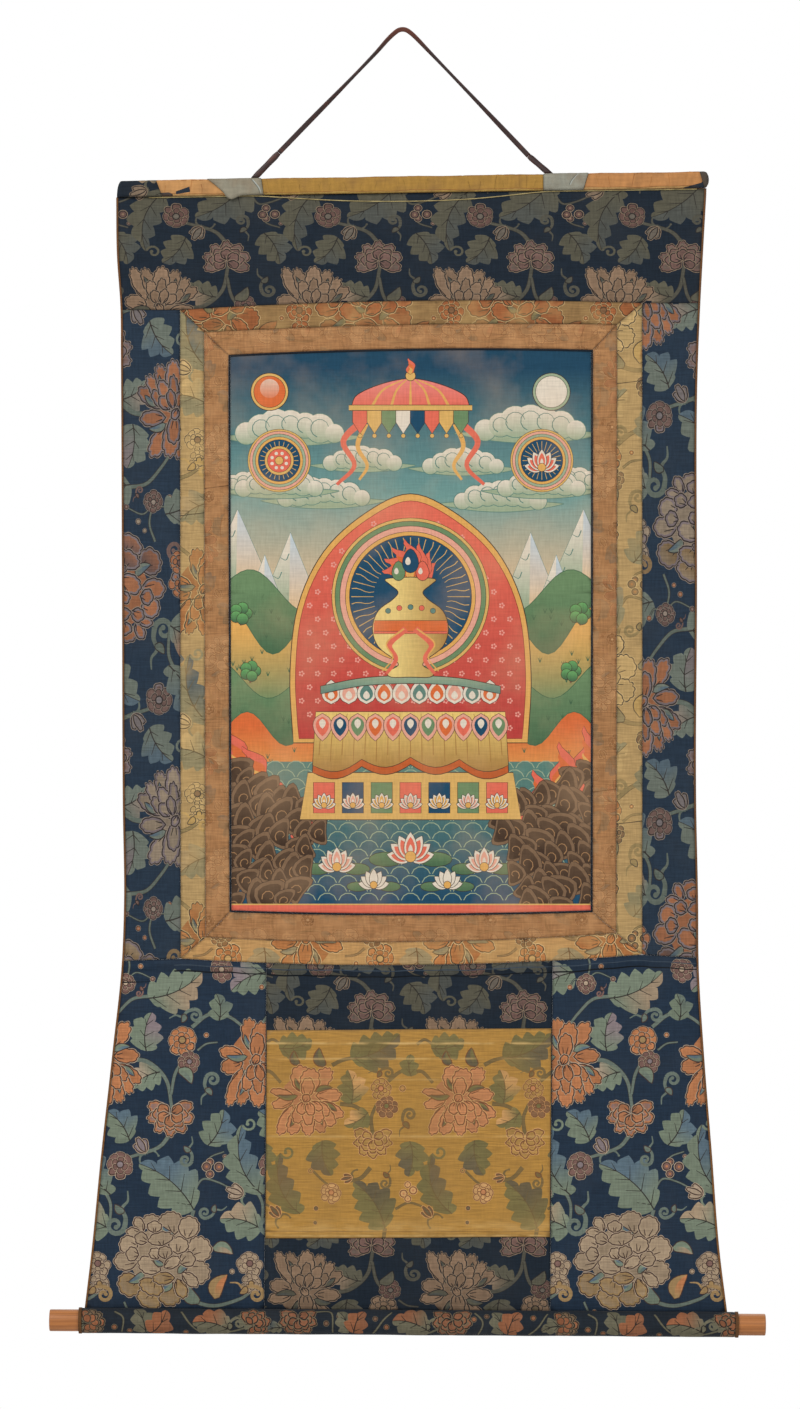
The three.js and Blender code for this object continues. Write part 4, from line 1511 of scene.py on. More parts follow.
@dataclass(frozen=True)
class Cloth:
    """A woven cloth in the colours of its yarns, with painted highlights along its creased ridges.

    Weft streaks and warp ribs are drawn at a few millimetres, coarser than the real threads, so that they
    show.
    """

    name: str
    roughness: float
    sheen: float
    streak: float
    rib: float
    dust: str
    dusting: float
    relief: float
    gloss: float = 0.15
    weft: float = 1.7
    warp: float = 2.4
    patch: float = 70.0
    ridges: tuple[Ridge, ...] = ()
    # Colour of the painted highlights along the ridges
    ridge_highlight: str = "dbb675"
    weft_run: float = 26.0
    warp_run: float = 18.0
    highlight_breakup_size: tuple[float, float] = (30.0, 9.0)

    def wear_and_highlight(self, tree: bpy.types.NodeTree, flat: bpy.types.NodeSocket,
               colour: bpy.types.NodeSocket) -> bpy.types.NodeSocket:
        """Paint highlights along the ridges: lighten a colour there, unevenly.

        Args:
            tree: the material's node tree.
            flat: the flat places on the cloth.
            colour: the colour to lighten.

        Returns:
            The lighter colour.
        """
        height = add_node(tree, "ShaderNodeSeparateXYZ", {0: flat}).outputs[1]
        highlight_breakup_scale = (1 / (self.highlight_breakup_size[0] * MM), 1 / (self.highlight_breakup_size[1] * MM), 1)
        highlight_breakup_map = add_node(tree, "ShaderNodeMapping", {"Vector": flat, "Scale": highlight_breakup_scale})
        highlight_breakup = add_node(tree, "ShaderNodeTexNoise", {
            "Vector": highlight_breakup_map.outputs[0], "Scale": 1.0, "Detail": 3.0})
        uneven = add_node(tree, "ShaderNodeMapRange", {
            "Value": highlight_breakup.outputs["Fac"], "From Min": 0.35, "From Max": 0.6}).outputs[0]
        # Painted highlight: near each ridge the colour turns towards the highlight colour, broken up by noise
        for ridge in self.ridges:
            apart = add_node(tree, "ShaderNodeMath", {0: height, 1: ridge.z * MM}, operation="SUBTRACT")
            span = add_node(tree, "ShaderNodeMath", {0: apart.outputs[0]}, operation="ABSOLUTE")
            near = add_node(tree, "ShaderNodeMapRange", {
                "Value": span.outputs[0], "From Max": ridge.spread * MM,
                "To Min": ridge.strength, "To Max": 0.0})
            share = add_node(tree, "ShaderNodeMath", {0: near.outputs[0], 1: uneven}, operation="MULTIPLY")
            colour = add_node(tree, "ShaderNodeMix", {
                0: share.outputs[0], 6: colour, 7: linear(self.ridge_highlight)}, data_type="RGBA").outputs[2]
        return colour

    def material(self) -> bpy.types.Material:
        """Make the material."""
        material, tree = new_tree(self.name)
        flat = add_node(tree, "ShaderNodeUVMap", {}, uv_map=CLOTH_MAP).outputs["UV"]
        yarns = add_node(tree, "ShaderNodeAttribute", {}, attribute_name=THREAD_COLOUR).outputs["Color"]
        weft_scale = (1 / (self.weft_run * MM), 1 / (self.weft * MM), 1)
        weft_map = add_node(tree, "ShaderNodeMapping", {"Vector": flat, "Scale": weft_scale})
        weft = add_node(tree, "ShaderNodeTexNoise", {
            "Vector": weft_map.outputs[0], "Scale": 1.0, "Detail": 2.0})
        warp_scale = (1 / (self.warp * MM), 1 / (self.warp_run * MM), 1)
        warp_map = add_node(tree, "ShaderNodeMapping", {"Vector": flat, "Scale": warp_scale})
        warp = add_node(tree, "ShaderNodeTexNoise", {
            "Vector": warp_map.outputs[0], "Scale": 1.0, "Detail": 1.0})
        streaks = add_node(tree, "ShaderNodeMapRange", {
            "Value": weft.outputs["Fac"], "From Min": 0.3, "From Max": 0.7,
            "To Min": 1 - self.streak, "To Max": 1 + self.streak})
        ribs = add_node(tree, "ShaderNodeMapRange", {
            "Value": warp.outputs["Fac"], "From Min": 0.3, "From Max": 0.7,
            "To Min": 1 - self.rib, "To Max": 1 + self.rib})
        both = add_node(tree, "ShaderNodeMath", {
            0: streaks.outputs[0], 1: ribs.outputs[0]}, operation="MULTIPLY")
        woven = add_node(tree, "ShaderNodeMix", {0: 1.0, 6: yarns, 7: both.outputs[0]},
                         data_type="RGBA", blend_type="MULTIPLY")
        blotch = add_node(tree, "ShaderNodeTexNoise", {
            "Vector": flat, "Scale": 1 / (self.patch * MM), "Detail": 6.0})
        dusty = add_node(tree, "ShaderNodeMapRange", {
            "Value": blotch.outputs["Fac"], "From Min": 0.46, "From Max": 0.72, "To Max": self.dusting})
        worn = add_node(tree, "ShaderNodeMix", {
            0: dusty.outputs[0], 6: woven.outputs[2], 7: linear(self.dust)}, data_type="RGBA")
        threads = add_node(tree, "ShaderNodeMath", {
            0: weft.outputs["Fac"], 1: warp.outputs["Fac"]}, operation="ADD")
        raised = add_node(tree, "ShaderNodeBump", {
            "Strength": 0.6, "Distance": self.relief * MM, "Height": threads.outputs[0]})
        shader = add_node(tree, "ShaderNodeBsdfPrincipled", {
            "Base Color": self.wear_and_highlight(tree, flat, worn.outputs[2]) if self.ridges else worn.outputs[2],
            "Roughness": self.roughness, "Sheen Weight": self.sheen,
            "Sheen Roughness": 0.5, "Specular IOR Level": self.gloss, "Normal": raised.outputs[0]})
        add_node(tree, "ShaderNodeOutputMaterial", {"Surface": shader.outputs[0]})
        return material


# Silk brocade: soft lustre, colour in long weft streaks, dust in patches
NAVY_SILK = Cloth("navy_silk_brocade", 0.82, 0.03, 0.17, 0.1, "4d4b48", 0.1, 0.5)
# Gold silk brocade of the outer border: paler where it is rubbed
GOLD_SILK = Cloth("gold_silk_brocade", 0.74, 0.04, 0.2, 0.08, "c3a068", 0.42, 0.4, 0.15, 1.7, 2.4, 34)
# Copper silk damask of the inner border: tone on tone, worn to a matte face
COPPER_SILK = Cloth("copper_silk_damask", 0.74, 0.04, 0.22, 0.12, "c29162", 0.5, 0.4, 0.15, 1.7, 2.4, 22)
# Satin brocade of the patch below the painting: the glossiest cloth of the mount, with painted highlights
# along its creases and at its hem
DOOR_SATIN = Cloth("gold_satin_brocade", 0.5, 0.06, 0.2, 0.05, "94703a", 0.35, 0.35, 0.3, ridges=(
    Ridge(-1263.8, 2.4, 0.75), Ridge(-1283, 2.0, 0.5), Ridge(-1309, 2.0, 0.35), Ridge(-1380, 2.4, 0.35),
    Ridge(-1494, 13, 0.28), Ridge(-1504.5, 2.0, 0.7)))
# Painted cotton: matte mineral colours over a plain weave, rubbed in patches
PAINTED_COTTON = Cloth("painted_cotton", 0.88, 0.02, 0.07, 0.06, "dcb48c", 0.2, 0.25, 0.1, 2.0, 2.2, 90)
# Folded cotton tape: dull and dark
COTTON_TAPE = Cloth("folded_cotton_tape", 0.85, 0.03, 0.16, 0.12, "4a4036", 0.3, 0.4)
# Thin silk stretched round the stave: handled and dusty in patches; painted shade marks its folds
WRAP_SILK = Cloth("stretched_plain_silk", 0.66, 0.04, 0.08, 0.09, "7a5a3a", 0.42, 0.4, 0.2, 3.0, 5.0, 26)


@dataclass(frozen=True)
class Pine:
    """Pine rod, split and shaved by hand, with oil from handling: fine dark grain along it."""

    name: str = "handled_pine"
    pale: str = "bd783e"
    dark: str = "945a2b"
    grain: float = 2.2
    run: float = 150.0

    def material(self) -> bpy.types.Material:
        """Make the material."""
        material, tree = new_tree(self.name)
        where = add_node(tree, "ShaderNodeTexCoord", {}).outputs["Object"]
        scale = (1 / (self.run * MM), 1 / (self.grain * MM), 1 / (self.grain * MM))
        along = add_node(tree, "ShaderNodeMapping", {"Vector": where, "Scale": scale})
        grain = add_node(tree, "ShaderNodeTexNoise", {
            "Vector": along.outputs[0], "Scale": 1.0, "Detail": 4.0})
        share = add_node(tree, "ShaderNodeMapRange", {
            "Value": grain.outputs["Fac"], "From Min": 0.35, "From Max": 0.68})
        wood = add_node(tree, "ShaderNodeMix", {
            0: share.outputs[0], 6: linear(self.pale), 7: linear(self.dark)}, data_type="RGBA")
        raised = add_node(tree, "ShaderNodeBump", {
            "Strength": 0.4, "Distance": 0.25 * MM, "Height": grain.outputs["Fac"]})
        shader = add_node(tree, "ShaderNodeBsdfPrincipled", {
            "Base Color": wood.outputs[2], "Roughness": 0.5, "IOR": 1.5, "Normal": raised.outputs[0]})
        add_node(tree, "ShaderNodeOutputMaterial", {"Surface": shader.outputs[0]})
        return material


@dataclass(frozen=True)
class Leather:
    """Dark strap leather, rubbed redder at its top bend."""

    name: str = "worn_strap_leather"
    dark: str = "35211f"
    wear_and_highlight: str = "6a3524"
    pebble: float = 0.9

    def material(self) -> bpy.types.Material:
        """Make the material."""
        material, tree = new_tree(self.name)
        where = add_node(tree, "ShaderNodeTexCoord", {}).outputs["Object"]
        height = add_node(tree, "ShaderNodeSeparateXYZ", {0: where}).outputs["Z"]
        near = add_node(tree, "ShaderNodeMapRange", {
            "Value": height, "From Min": -26 * MM, "From Max": 2 * MM, "To Max": 0.85})
        pebbles = add_node(tree, "ShaderNodeTexNoise", {
            "Vector": where, "Scale": 1 / (self.pebble * MM), "Detail": 3.0})
        scuffs = add_node(tree, "ShaderNodeTexNoise", {"Vector": where, "Scale": 1 / (9 * MM), "Detail": 4.0})
        scuffed = add_node(tree, "ShaderNodeMapRange", {
            "Value": scuffs.outputs["Fac"], "From Min": 0.5, "From Max": 0.75, "To Max": 0.5})
        most = add_node(tree, "ShaderNodeMath", {
            0: near.outputs[0], 1: scuffed.outputs[0]}, operation="MAXIMUM")
        hide = add_node(tree, "ShaderNodeMix", {
            0: most.outputs[0], 6: linear(self.dark), 7: linear(self.wear_and_highlight)}, data_type="RGBA")
        raised = add_node(tree, "ShaderNodeBump", {
            "Strength": 0.25, "Distance": 0.15 * MM, "Height": pebbles.outputs["Fac"]})
        shader = add_node(tree, "ShaderNodeBsdfPrincipled", {
            "Base Color": hide.outputs[2], "Roughness": 0.55, "IOR": 1.5, "Normal": raised.outputs[0]})
        add_node(tree, "ShaderNodeOutputMaterial", {"Surface": shader.outputs[0]})
        return material


@dataclass(frozen=True)
class Thread:
    """Undyed cotton string of two plies, matte and a little soiled."""

    name: str = "twisted_cotton_string"
    pale: str = "b9a873"
    soiled: str = "84744a"

    def material(self) -> bpy.types.Material:
        """Make the material."""
        material, tree = new_tree(self.name)
        where = add_node(tree, "ShaderNodeTexCoord", {}).outputs["Object"]
        soil = add_node(tree, "ShaderNodeTexNoise", {"Vector": where, "Scale": 1 / (14 * MM), "Detail": 3.0})
        share = add_node(tree, "ShaderNodeMapRange", {
            "Value": soil.outputs["Fac"], "From Min": 0.35, "From Max": 0.7})
        cotton = add_node(tree, "ShaderNodeMix", {
            0: share.outputs[0], 6: linear(self.pale), 7: linear(self.soiled)}, data_type="RGBA")
        fuzz = add_node(tree, "ShaderNodeTexNoise", {"Vector": where, "Scale": 1 / (0.8 * MM), "Detail": 2.0})
        raised = add_node(tree, "ShaderNodeBump", {
            "Strength": 0.5, "Distance": 0.15 * MM, "Height": fuzz.outputs["Fac"]})
        shader = add_node(tree, "ShaderNodeBsdfPrincipled", {
            "Base Color": cotton.outputs[2], "Roughness": 0.9, "Sheen Weight": 0.1,
            "Normal": raised.outputs[0]})
        add_node(tree, "ShaderNodeOutputMaterial", {"Surface": shader.outputs[0]})
        return material


# Shared facts of the pieces

CLOTH = 1.6
CANVAS = 1.2
SEAT = 0.3
RAW_COTTON = "b3a482"


def settle(piece: bpy.types.Object, node: str, material: bpy.types.Material) -> bpy.types.Object:
    """Dress a finished piece and let it stand for its solid.

    Args:
        piece: the piece.
        node: the solid that it replaces.
        material: its finish.

    Returns:
        The piece.
    """
    piece.data.materials.append(material)
    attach(piece, BODY)
    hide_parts(node)
    log.info("%s: %d faces in place of %s", piece.name, len(piece.data.polygons), node)
    return piece


def flat_line(value: float) -> Edge:
    """Make an edge that stays at one value."""
    return lambda at: np.full(np.shape(at), float(value))


def sewn(name: str, patch: Patch, ground: Fill, drawing: Drawing, back: str, **facts: object) -> SheetMesh:
    """Lay out a sewn piece of the hung cloth.

    Args:
        name: the piece's name.
        patch: its edges.
        ground: its ground colour.
        drawing: what is woven or painted on it.
        back: colour of its back.
        facts: other fields of the sheet.

    Returns:
        The sheet, ready to build.
    """
    loop = patch.loop(float(facts.pop("step", 8.0)))
    thickness = float(facts.pop("thickness", CLOTH))
    lift = float(facts.pop("lift", 0.0))
    return SheetMesh(name, loop, ground, drawing, hung(lift), thickness, back,
                     extra=fold_points(*box(loop)), **facts)


def box_of(patch: Patch) -> tuple[complex, complex]:
    """Give the lowest and highest corners of a piece."""
    return box(patch.loop(20.0))


# The studio


@dataclass
class Studio:
    """Camera square on to the painting, soft lights and a pale floor below the roller."""

    image_width: int = 800
    image_height: int = 1409
    pixel: float = 1.25
    origin_across: float = 402.5
    origin_down: float = 32.0
    distance: float = 6000.0
    sensor: float = 36.0
    floor_height: float = -2130.0
    floor_half: float = 2000.0
    floor_depth: float = 1500.0
    floor_dark: str = "e9e7e3"
    floor_pale: str = "f1efec"
    room: str = "ffffff"

    def place_camera(self) -> None:
        """Put the camera where one pixel is the same size all over the painting."""
        data = bpy.data.cameras.new("camera")
        data.sensor_width = self.sensor
        data.lens = self.sensor * self.distance / (self.image_height * self.pixel)
        data.clip_start = 0.1
        data.clip_end = 60.0
        camera = linked("camera", data)
        across = (self.image_width / 2 - self.origin_across) * self.pixel
        up = -(self.image_height / 2 - self.origin_down) * self.pixel
        camera.location = (across * MM, -self.distance * MM, up * MM)
        camera.rotation_euler = (math.radians(90), 0, 0)
        bpy.context.scene.camera = camera

    def light(self) -> None:
        """Add a broad key light from the upper left, a weaker one from the right and a white room."""
        rows = (
            ("key_light", (-2.2, -3.4, 1.6), 2.4, 118.0),
            ("fill_light", (2.6, -3.6, 0.2), 2.6, 50.0),
            ("back_light", (0.6, 3.2, 1.4), 2.4, 48.0),
        )
        for name, place, size, power in rows:
            data = bpy.data.lights.new(name, "AREA")
            data.shape = "SQUARE"
            data.size = size
            data.energy = power
            lamp = linked(name, data)
            lamp.location = place
            aim = Vector((0.0, 0.0, -0.85)) - lamp.location
            lamp.rotation_euler = aim.to_track_quat("-Z", "Y").to_euler()
        world = bpy.data.worlds.new("white_room")
        world.use_nodes = True
        world.node_tree.nodes.clear()
        tree = world.node_tree
        seen = add_node(tree, "ShaderNodeLightPath", {}).outputs["Is Camera Ray"]
        glow = add_node(tree, "ShaderNodeBackground", {"Color": linear(self.room), "Strength": 0.4})
        plain = add_node(tree, "ShaderNodeBackground", {"Color": linear(self.room), "Strength": 1.0})
        both = add_node(tree, "ShaderNodeMixShader", {0: seen, 1: glow.outputs[0], 2: plain.outputs[0]})
        add_node(tree, "ShaderNodeOutputWorld", {"Surface": both.outputs[0]})
        bpy.context.scene.world = world
        bpy.context.scene.view_settings.view_transform = "Standard"

    def lay_floor(self) -> None:
        """Lay the floor, out of the photograph's frame."""
        half, depth = self.floor_half * MM, self.floor_depth * MM
        z = self.floor_height * MM
        mesh = bpy.data.meshes.new("studio_floor")
        mesh.from_pydata([(-half, -depth, z), (half, -depth, z), (half, depth, z), (-half, depth, z)],
                         [], [(0, 1, 2, 3)])
        floor = linked("studio_floor", mesh)
        material, tree = new_tree("pale_studio_floor")
        where = add_node(tree, "ShaderNodeTexCoord", {}).outputs["Object"]
        grit = add_node(tree, "ShaderNodeTexNoise", {"Vector": where, "Scale": 40.0})
        tone = add_node(tree, "ShaderNodeMix", {
            0: grit.outputs["Fac"], 6: linear(self.floor_dark), 7: linear(self.floor_pale)}, data_type="RGBA")
        shader = add_node(tree, "ShaderNodeBsdfPrincipled", {"Base Color": tone.outputs[2], "Roughness": 0.8})
        add_node(tree, "ShaderNodeOutputMaterial", {"Surface": shader.outputs[0]})
        mesh.materials.append(material)


# Strap and string


class StrapRow(NamedTuple):
    """A place on the strap's line and the turn of its face about that line."""

    x: float
    z: float
    turn: float


STRAP_ROUTE = (
    StrapRow(-154.5, -151, 15), StrapRow(-138.5, -134.5, 20), StrapRow(-120, -115.4, 28),
    StrapRow(-100, -95, 40), StrapRow(-80, -74.6, 55), StrapRow(-60, -54, 68), StrapRow(-44, -37.4, 66),
    StrapRow(-31, -23.6, 58), StrapRow(-20, -11, 50), StrapRow(-11.5, -2.6, 44), StrapRow(-4, 2.6, 40),
    StrapRow(4, 2.7, 40), StrapRow(11.5, -2.2, 44), StrapRow(20, -10.4, 50), StrapRow(31, -22, 60),
    StrapRow(46, -37.6, 70), StrapRow(64, -56.4, 72), StrapRow(84, -77.3, 64), StrapRow(106, -100.4, 50),
    StrapRow(126, -121.5, 34), StrapRow(143, -139.4, 22), StrapRow(157.5, -154.7, 15),
)

STRING_ROUTE = (
    (-317, 0.4), (-266, 0.4), (-218, 0.4), (-182, 0.5), (-128, 4.5), (-97, 6.7), (-66, 8.4), (-32, 9.5),
    (3, 10), (30, 9.9), (59, 9.4), (91, 8), (122, 5.6), (152, 2.8), (182, 0.6), (234, 0.4), (297, 0.4),
    (368, 0.4),
)


def tube(name: str, rings: np.ndarray) -> bpy.types.Object:
    """Make a closed tube through rings of points.

    Args:
        name: the object's name.
        rings: for each station a loop of points, in millimetres.

    Returns:
        The object, shaded smooth.
    """
    stations, sides = rings.shape[:2]
    faces = []
    for r in range(stations - 1):
        for i in range(sides):
            a, b = r * sides + i, r * sides + (i + 1) % sides
            faces.append((a, b, b + sides, a + sides))
    faces.append(tuple(range(sides))[::-1])
    faces.append(tuple(range((stations - 1) * sides, stations * sides)))
    return smooth_piece(name, rings.reshape(-1, 3), faces)


def strap_ring(centre: complex, along: complex, width: float, thickness: float, turn: float,
               section: np.ndarray) -> np.ndarray:
    """Make one loop across a line in the upright plane y = 0.

    Args:
        centre: the line's place.
        along: its direction, of length one.
        width: across the strap.
        thickness: through it.
        turn: degrees that its face is turned about the line.
        section: the loop's points as shares of half the width and half the thickness.

    Returns:
        Points in space.
    """
    angle = math.radians(turn)
    sideways = np.array([along.imag, 0, -along.real])
    depth = np.array([0, 1.0, 0])
    wide = math.cos(angle) * sideways + math.sin(angle) * depth
    thin = math.cos(angle) * depth - math.sin(angle) * sideways
    middle = np.array([centre.real, 0, centre.imag])
    return middle + section[:, :1] * width / 2 * wide + section[:, 1:] * thickness / 2 * thin


@dataclass
class Strap:
    """The flat leather strap and the whippings that bind its ends to the stave."""

    width: float = 6.4
    thickness: float = 2.2
    steps: int = 8
    whip_width: float = 8.0
    whip_thickness: float = 5.0
    whip_turn: float = 15.0
    foot_left: float = -185.0
    foot_right: float = 183.0
    wind: float = 2.1
    sides: int = 20
    whip_rings: int = 46
    leather: Leather = field(default_factory=Leather)

    def build(self) -> None:
        """Make the strap and both whippings."""
        material = self.leather.material()
        line = smooth_path([complex(row.x, row.z) for row in STRAP_ROUTE], self.steps)
        turns = smooth_path([complex(i, row.turn) for i, row in enumerate(STRAP_ROUTE)], self.steps).imag
        along = np.gradient(line)
        along = along / np.abs(along)
        angles = 2 * np.pi * (np.arange(self.sides) + 0.5) / self.sides
        flat = np.column_stack([
            np.sign(np.cos(angles)) * np.abs(np.cos(angles)) ** 0.35,
            np.sign(np.sin(angles)) * np.abs(np.sin(angles)) ** 0.5])
        run = np.concatenate([[0], np.cumsum(np.abs(np.diff(line)))])
        uneven = 1 + 0.03 * np.sin(run / 31.0) * np.sin(run / 47.0)
        rings = np.array([
            strap_ring(line[i], along[i], self.width * uneven[i], self.thickness, turns[i], flat)
            for i in range(line.size)])
        strap = settle(tube("hanging_strap_leather", rings), "hanging_strap", material)
        left = self.whipping("left", line[0], self.foot_left, material)
        right = self.whipping("right", line[-1], self.foot_right, material)

    def whipping(self, side: str, end: complex, foot_x: float,
                 material: bpy.types.Material) -> bpy.types.Object:
        """Make the turns of thong that bind one end of the strap.

        Args:
            side: left or right.
            end: where the strap proper starts.
            foot_x: where the binding stands on the stave.
            material: the leather.

        Returns:
            The whipping.
        """
        seat = STAVE.height / 2 + STAVE.patch_proud + SEAT
        foot = complex(foot_x, STAVE.middle(foot_x) + seat)
        along = (end - foot) / abs(end - foot)
        stop = end - along * SEAT
        angles = 2 * np.pi * np.arange(self.sides) / self.sides
        oval = np.column_stack([np.cos(angles), np.sin(angles)])
        rings = []
        for share in np.linspace(0, 1, self.whip_rings):
            swell = np.interp(share, (0, 0.12, 0.5, 0.85, 1), (0.85, 1, 0.92, 1, 0.8))
            gone = share * abs(stop - foot)
            turn_ridge = 1 + 0.06 * np.cos(2 * np.pi * gone / self.wind + angles)
            ring = strap_ring(foot + (stop - foot) * share, along, self.whip_width * swell,
                              self.whip_thickness * swell, self.whip_turn, oval * turn_ridge[:, None])
            rings.append(ring)
        for point in rings[0]:
            level = STAVE.middle(point[0]) + seat
            slide = (level - point[2]) / along.imag
            point += np.array([along.real, 0, along.imag]) * slide
        low = rings[0][:, 2].max()
        rings = [rings[0], *(ring for ring in rings[1:] if ring[:, 2].min() > low - 1.0)]
        made = tube(f"strap_whipping_{side}_thong", np.array(rings))
        return settle(made, f"strap_whipping_{side}", material)


@dataclass
class TieString:
    """The fine two-ply string that hangs in a shallow curve under the stave."""

    radius: float = 0.7
    steps: int = 30
    lay_length: float = 4.2
    ply: float = 0.16
    sides: int = 8
    thread: Thread = field(default_factory=Thread)

    def build(self) -> None:
        """Make the string along its route."""
        x = np.array([row[0] for row in STRING_ROUTE], float)
        drop = np.array([row[1] for row in STRING_ROUTE], float)
        z = STAVE.middle(x) - STAVE.height / 2 - drop - self.radius
        y = HANG.depth(x, z) - CLOTH / 2 - SEAT - self.radius
        flat = smooth_path(list(x + 1j * z), self.steps)
        deep = smooth_path(list(x + 1j * y), self.steps).imag
        run = np.concatenate([[0], np.cumsum(np.abs(np.diff(flat)))])
        angles = 2 * np.pi * np.arange(self.sides) / self.sides
        rings = []
        for place, depth, gone in zip(flat, deep, run):
            laid = np.cos(2 * (angles - 2 * np.pi * gone / self.lay_length))
            lobes = self.radius * (1 - self.ply / 2 + self.ply * laid)
            near, up = depth + lobes * np.cos(angles), place.imag + lobes * np.sin(angles)
            rings.append(np.column_stack([np.full(self.sides, place.real), near, up]))
        made = tube("tie_string_twist", np.array(rings))
        settle(made, "tie_string", self.thread.material())
        path = [(p.real * MM, d * MM, p.imag * MM) for p, d in zip(flat, deep)][::6]
        path.append((flat[-1].real * MM, deep[-1] * MM, flat[-1].imag * MM))


# Stave


class Wrap(NamedTuple):
    """One silk wrap along the stave; a slant is how far a cut end leans to the viewer's right at its top."""

    node: str
    start: float
    start_slant: float
    end: float
    end_slant: float
    slot: str
    colour: str


WRAPS = (
    Wrap("stave_end_left", -357, 0, -304, -8, "navy_brocade", "1c242d"),
    Wrap("wrap_orange_left", -304, -8, -231, -24, "orange_silk", "bf8c56"),
    Wrap("patch_grey_left", -231, -24, -175, -3, "grey_silk", "8e8876"),
    Wrap("wrap_yellow", -175, -3, 176, 0, "yellow_silk", "a47c38"),
    Wrap("patch_grey_right", 176, 0, 229, 6, "grey_silk", "908f81"),
    Wrap("wrap_orange_right", 229, 6, 374, -6, "orange_silk", "b9814d"),
    Wrap("stave_end_right", 374, -6, 383, 0, "brown_binding", "4b433a"),
)


@dataclass
class Stave:
    """The flat stave at the head, wrapped in strips of worn silk."""

    height: float = 20.5
    front: float = 6.5
    back: float = 4.5
    front_corner: float = 3.5
    back_corner: float = 1.5
    middle_x: float = 13.0
    middle_z: float = -190.7
    tilt: float = 0.9
    left: float = -357.0
    right: float = 383.0
    patch_proud: float = 0.9
    silk: float = 1.0
    end_round: float = 7.0
    gap: float = 0.03
    near_end: tuple[float, ...] = (0.35, 0.8, 1.5, 2.6)
    orange_hem: str = "c49a62"
    yellow_hem: str = "b8954f"
    hem_line: str = "8a5a30"
    stitches: str = "9a6236"
    # Painted shade of the fold lines on the yellow and orange wraps
    yellow_fold_shade: tuple[str, ...] = ("93702f", "9a7534", "86642a")
    orange_fold_shade: tuple[str, ...] = ("a86e3a", "b47a40", "8f5a30")
    dark_corner: str = "1d2732"
    # Painted shade in the grey patch's crease and a painted highlight on the fold beside it
    dark_strip: str = "1f2934"
    grey_crease_shade: str = "5c645f"
    grey_fold_highlight: str = "a5aca6"

    def middle(self, x: np.ndarray) -> np.ndarray:
        """Give z of the stave's middle line."""
        return self.middle_z + (x - self.middle_x) * math.tan(math.radians(self.tilt))

    def section(self, proud: float) -> tuple[np.ndarray, Points, Points]:
        """Make the wrapped section from the middle of its back, down and round its front, up to there again.

        Args:
            proud: how far a patch stands out over the other wraps.

        Returns:
            Distances along the section from the middle of its front, its points as depth + i height, and
            their outward directions.
        """
        top, foot, near = self.height / 2 + proud, -self.height / 2, -self.front - proud
        corner = self.front_corner + proud

        def bend(start: complex, corner_at: complex, end: complex) -> Points:
            """Round a corner."""
            t = np.linspace(0, 1, 9)
            return start * (1 - t) ** 2 + 2 * corner_at * t * (1 - t) + end * t ** 2

        def run(start: complex, end: complex) -> Points:
            """Step along a flat side."""
            return start + (end - start) * np.linspace(0, 1, 9)[1:-1]

        corners = ((complex(self.back, foot), self.back_corner), (complex(near, foot), corner),
                   (complex(near, top), corner), (complex(self.back, top), self.back_corner))
        ways = (-1j, -1, 1j, 1, -1j)
        middle = self.back + 0j
        parts, at = [[middle]], middle
        for (place, radius), into, out in zip(corners, ways, ways[1:]):
            start, end = place - into * radius, place + out * radius
            parts += [run(at, start), bend(start, place, end)]
            at = end
        points = np.concatenate([*parts, run(at, middle), [middle]])
        along = np.concatenate([[0], np.cumsum(np.abs(np.diff(points)))])
        facing = np.nonzero(points.real < near + 0.01)[0]
        centre = np.interp(0.0, points.imag[facing], along[facing])
        direction = np.gradient(points)
        outward = 1j * direction / np.maximum(np.abs(direction), 1e-9)
        return along - centre, points, outward

    def wrinkles(self, x: np.ndarray, v: np.ndarray, node: str) -> np.ndarray:
        """Give how far small folds across the stave stand out at places on a wrap.

        Args:
            x: places along the stave.
            v: places round it.
            node: the wrap's name.

        Returns:
            The distances.
        """
        seed = sum(ord(letter) for letter in node)
        random = np.random.default_rng(seed)
        total = np.zeros(x.shape)
        for place in np.arange(self.left, self.right, 13.0):
            at = place + random.uniform(-6, 6)
            lean = random.uniform(-0.35, 0.35)
            width = random.uniform(0.8, 1.8)
            rise = random.uniform(-0.35, 0.3)
            total += rise * np.exp(-((x - at - lean * v) / width) ** 2)
        total += 0.22 * np.sin(x / 21.0 + v / 6.0) + 0.15 * np.sin(x / 9.0 - v / 11.0)
        return total

    def placer(self, wrap: Wrap, proud: float) -> tuple[Place, np.ndarray, Points]:
        """Make the rule that puts a flat wrap round the stave.

        Args:
            wrap: the wrap.
            proud: how far it stands out.

        Returns:
            The rule, and the section's distances and points.
        """
        along, points, outward = self.section(proud)

        def place(flat: Points, out: np.ndarray) -> np.ndarray:
            """Give points in space on the wrapped stave.

            Args:
                flat: the flat places.
                out: how far each stands out.

            Returns:
                The points.
            """
            x, v = flat.real, flat.imag
            depth = np.interp(v, along, points.real)
            height = np.interp(v, along, points.imag)
            way = np.interp(v, along, outward.real) + 1j * np.interp(v, along, outward.imag)
            front = np.clip((height + self.height / 2) / 3, 0, 1)
            lift = out - self.silk / 2 + self.wrinkles(x, v, wrap.node) * (out > 0) * front
            depth = depth + way.real * lift
            height = height + way.imag * lift
            from_end = np.minimum(x - self.left, self.right - x)
            closed = np.clip((self.end_round - from_end) / self.end_round, 0, 1)
            shrink = np.sqrt(np.maximum(1 - closed ** 2.4, 0.0004))
            if wrap.node == "patch_grey_left":
                dip = 5.5 * np.exp(-((x + 214) / 9) ** 2)
                height = height - dip * np.exp(-((v + 11) / 4.5) ** 2)
                depth = depth - 0.25 * dip * np.exp(-((v + 11) / 4.5) ** 2)
            held = np.where(x < self.middle_x, -self.height / 2, 0.0)
            return np.column_stack([x, depth * shrink, self.middle(x) + held + (height - held) * shrink])
        return place, along, points

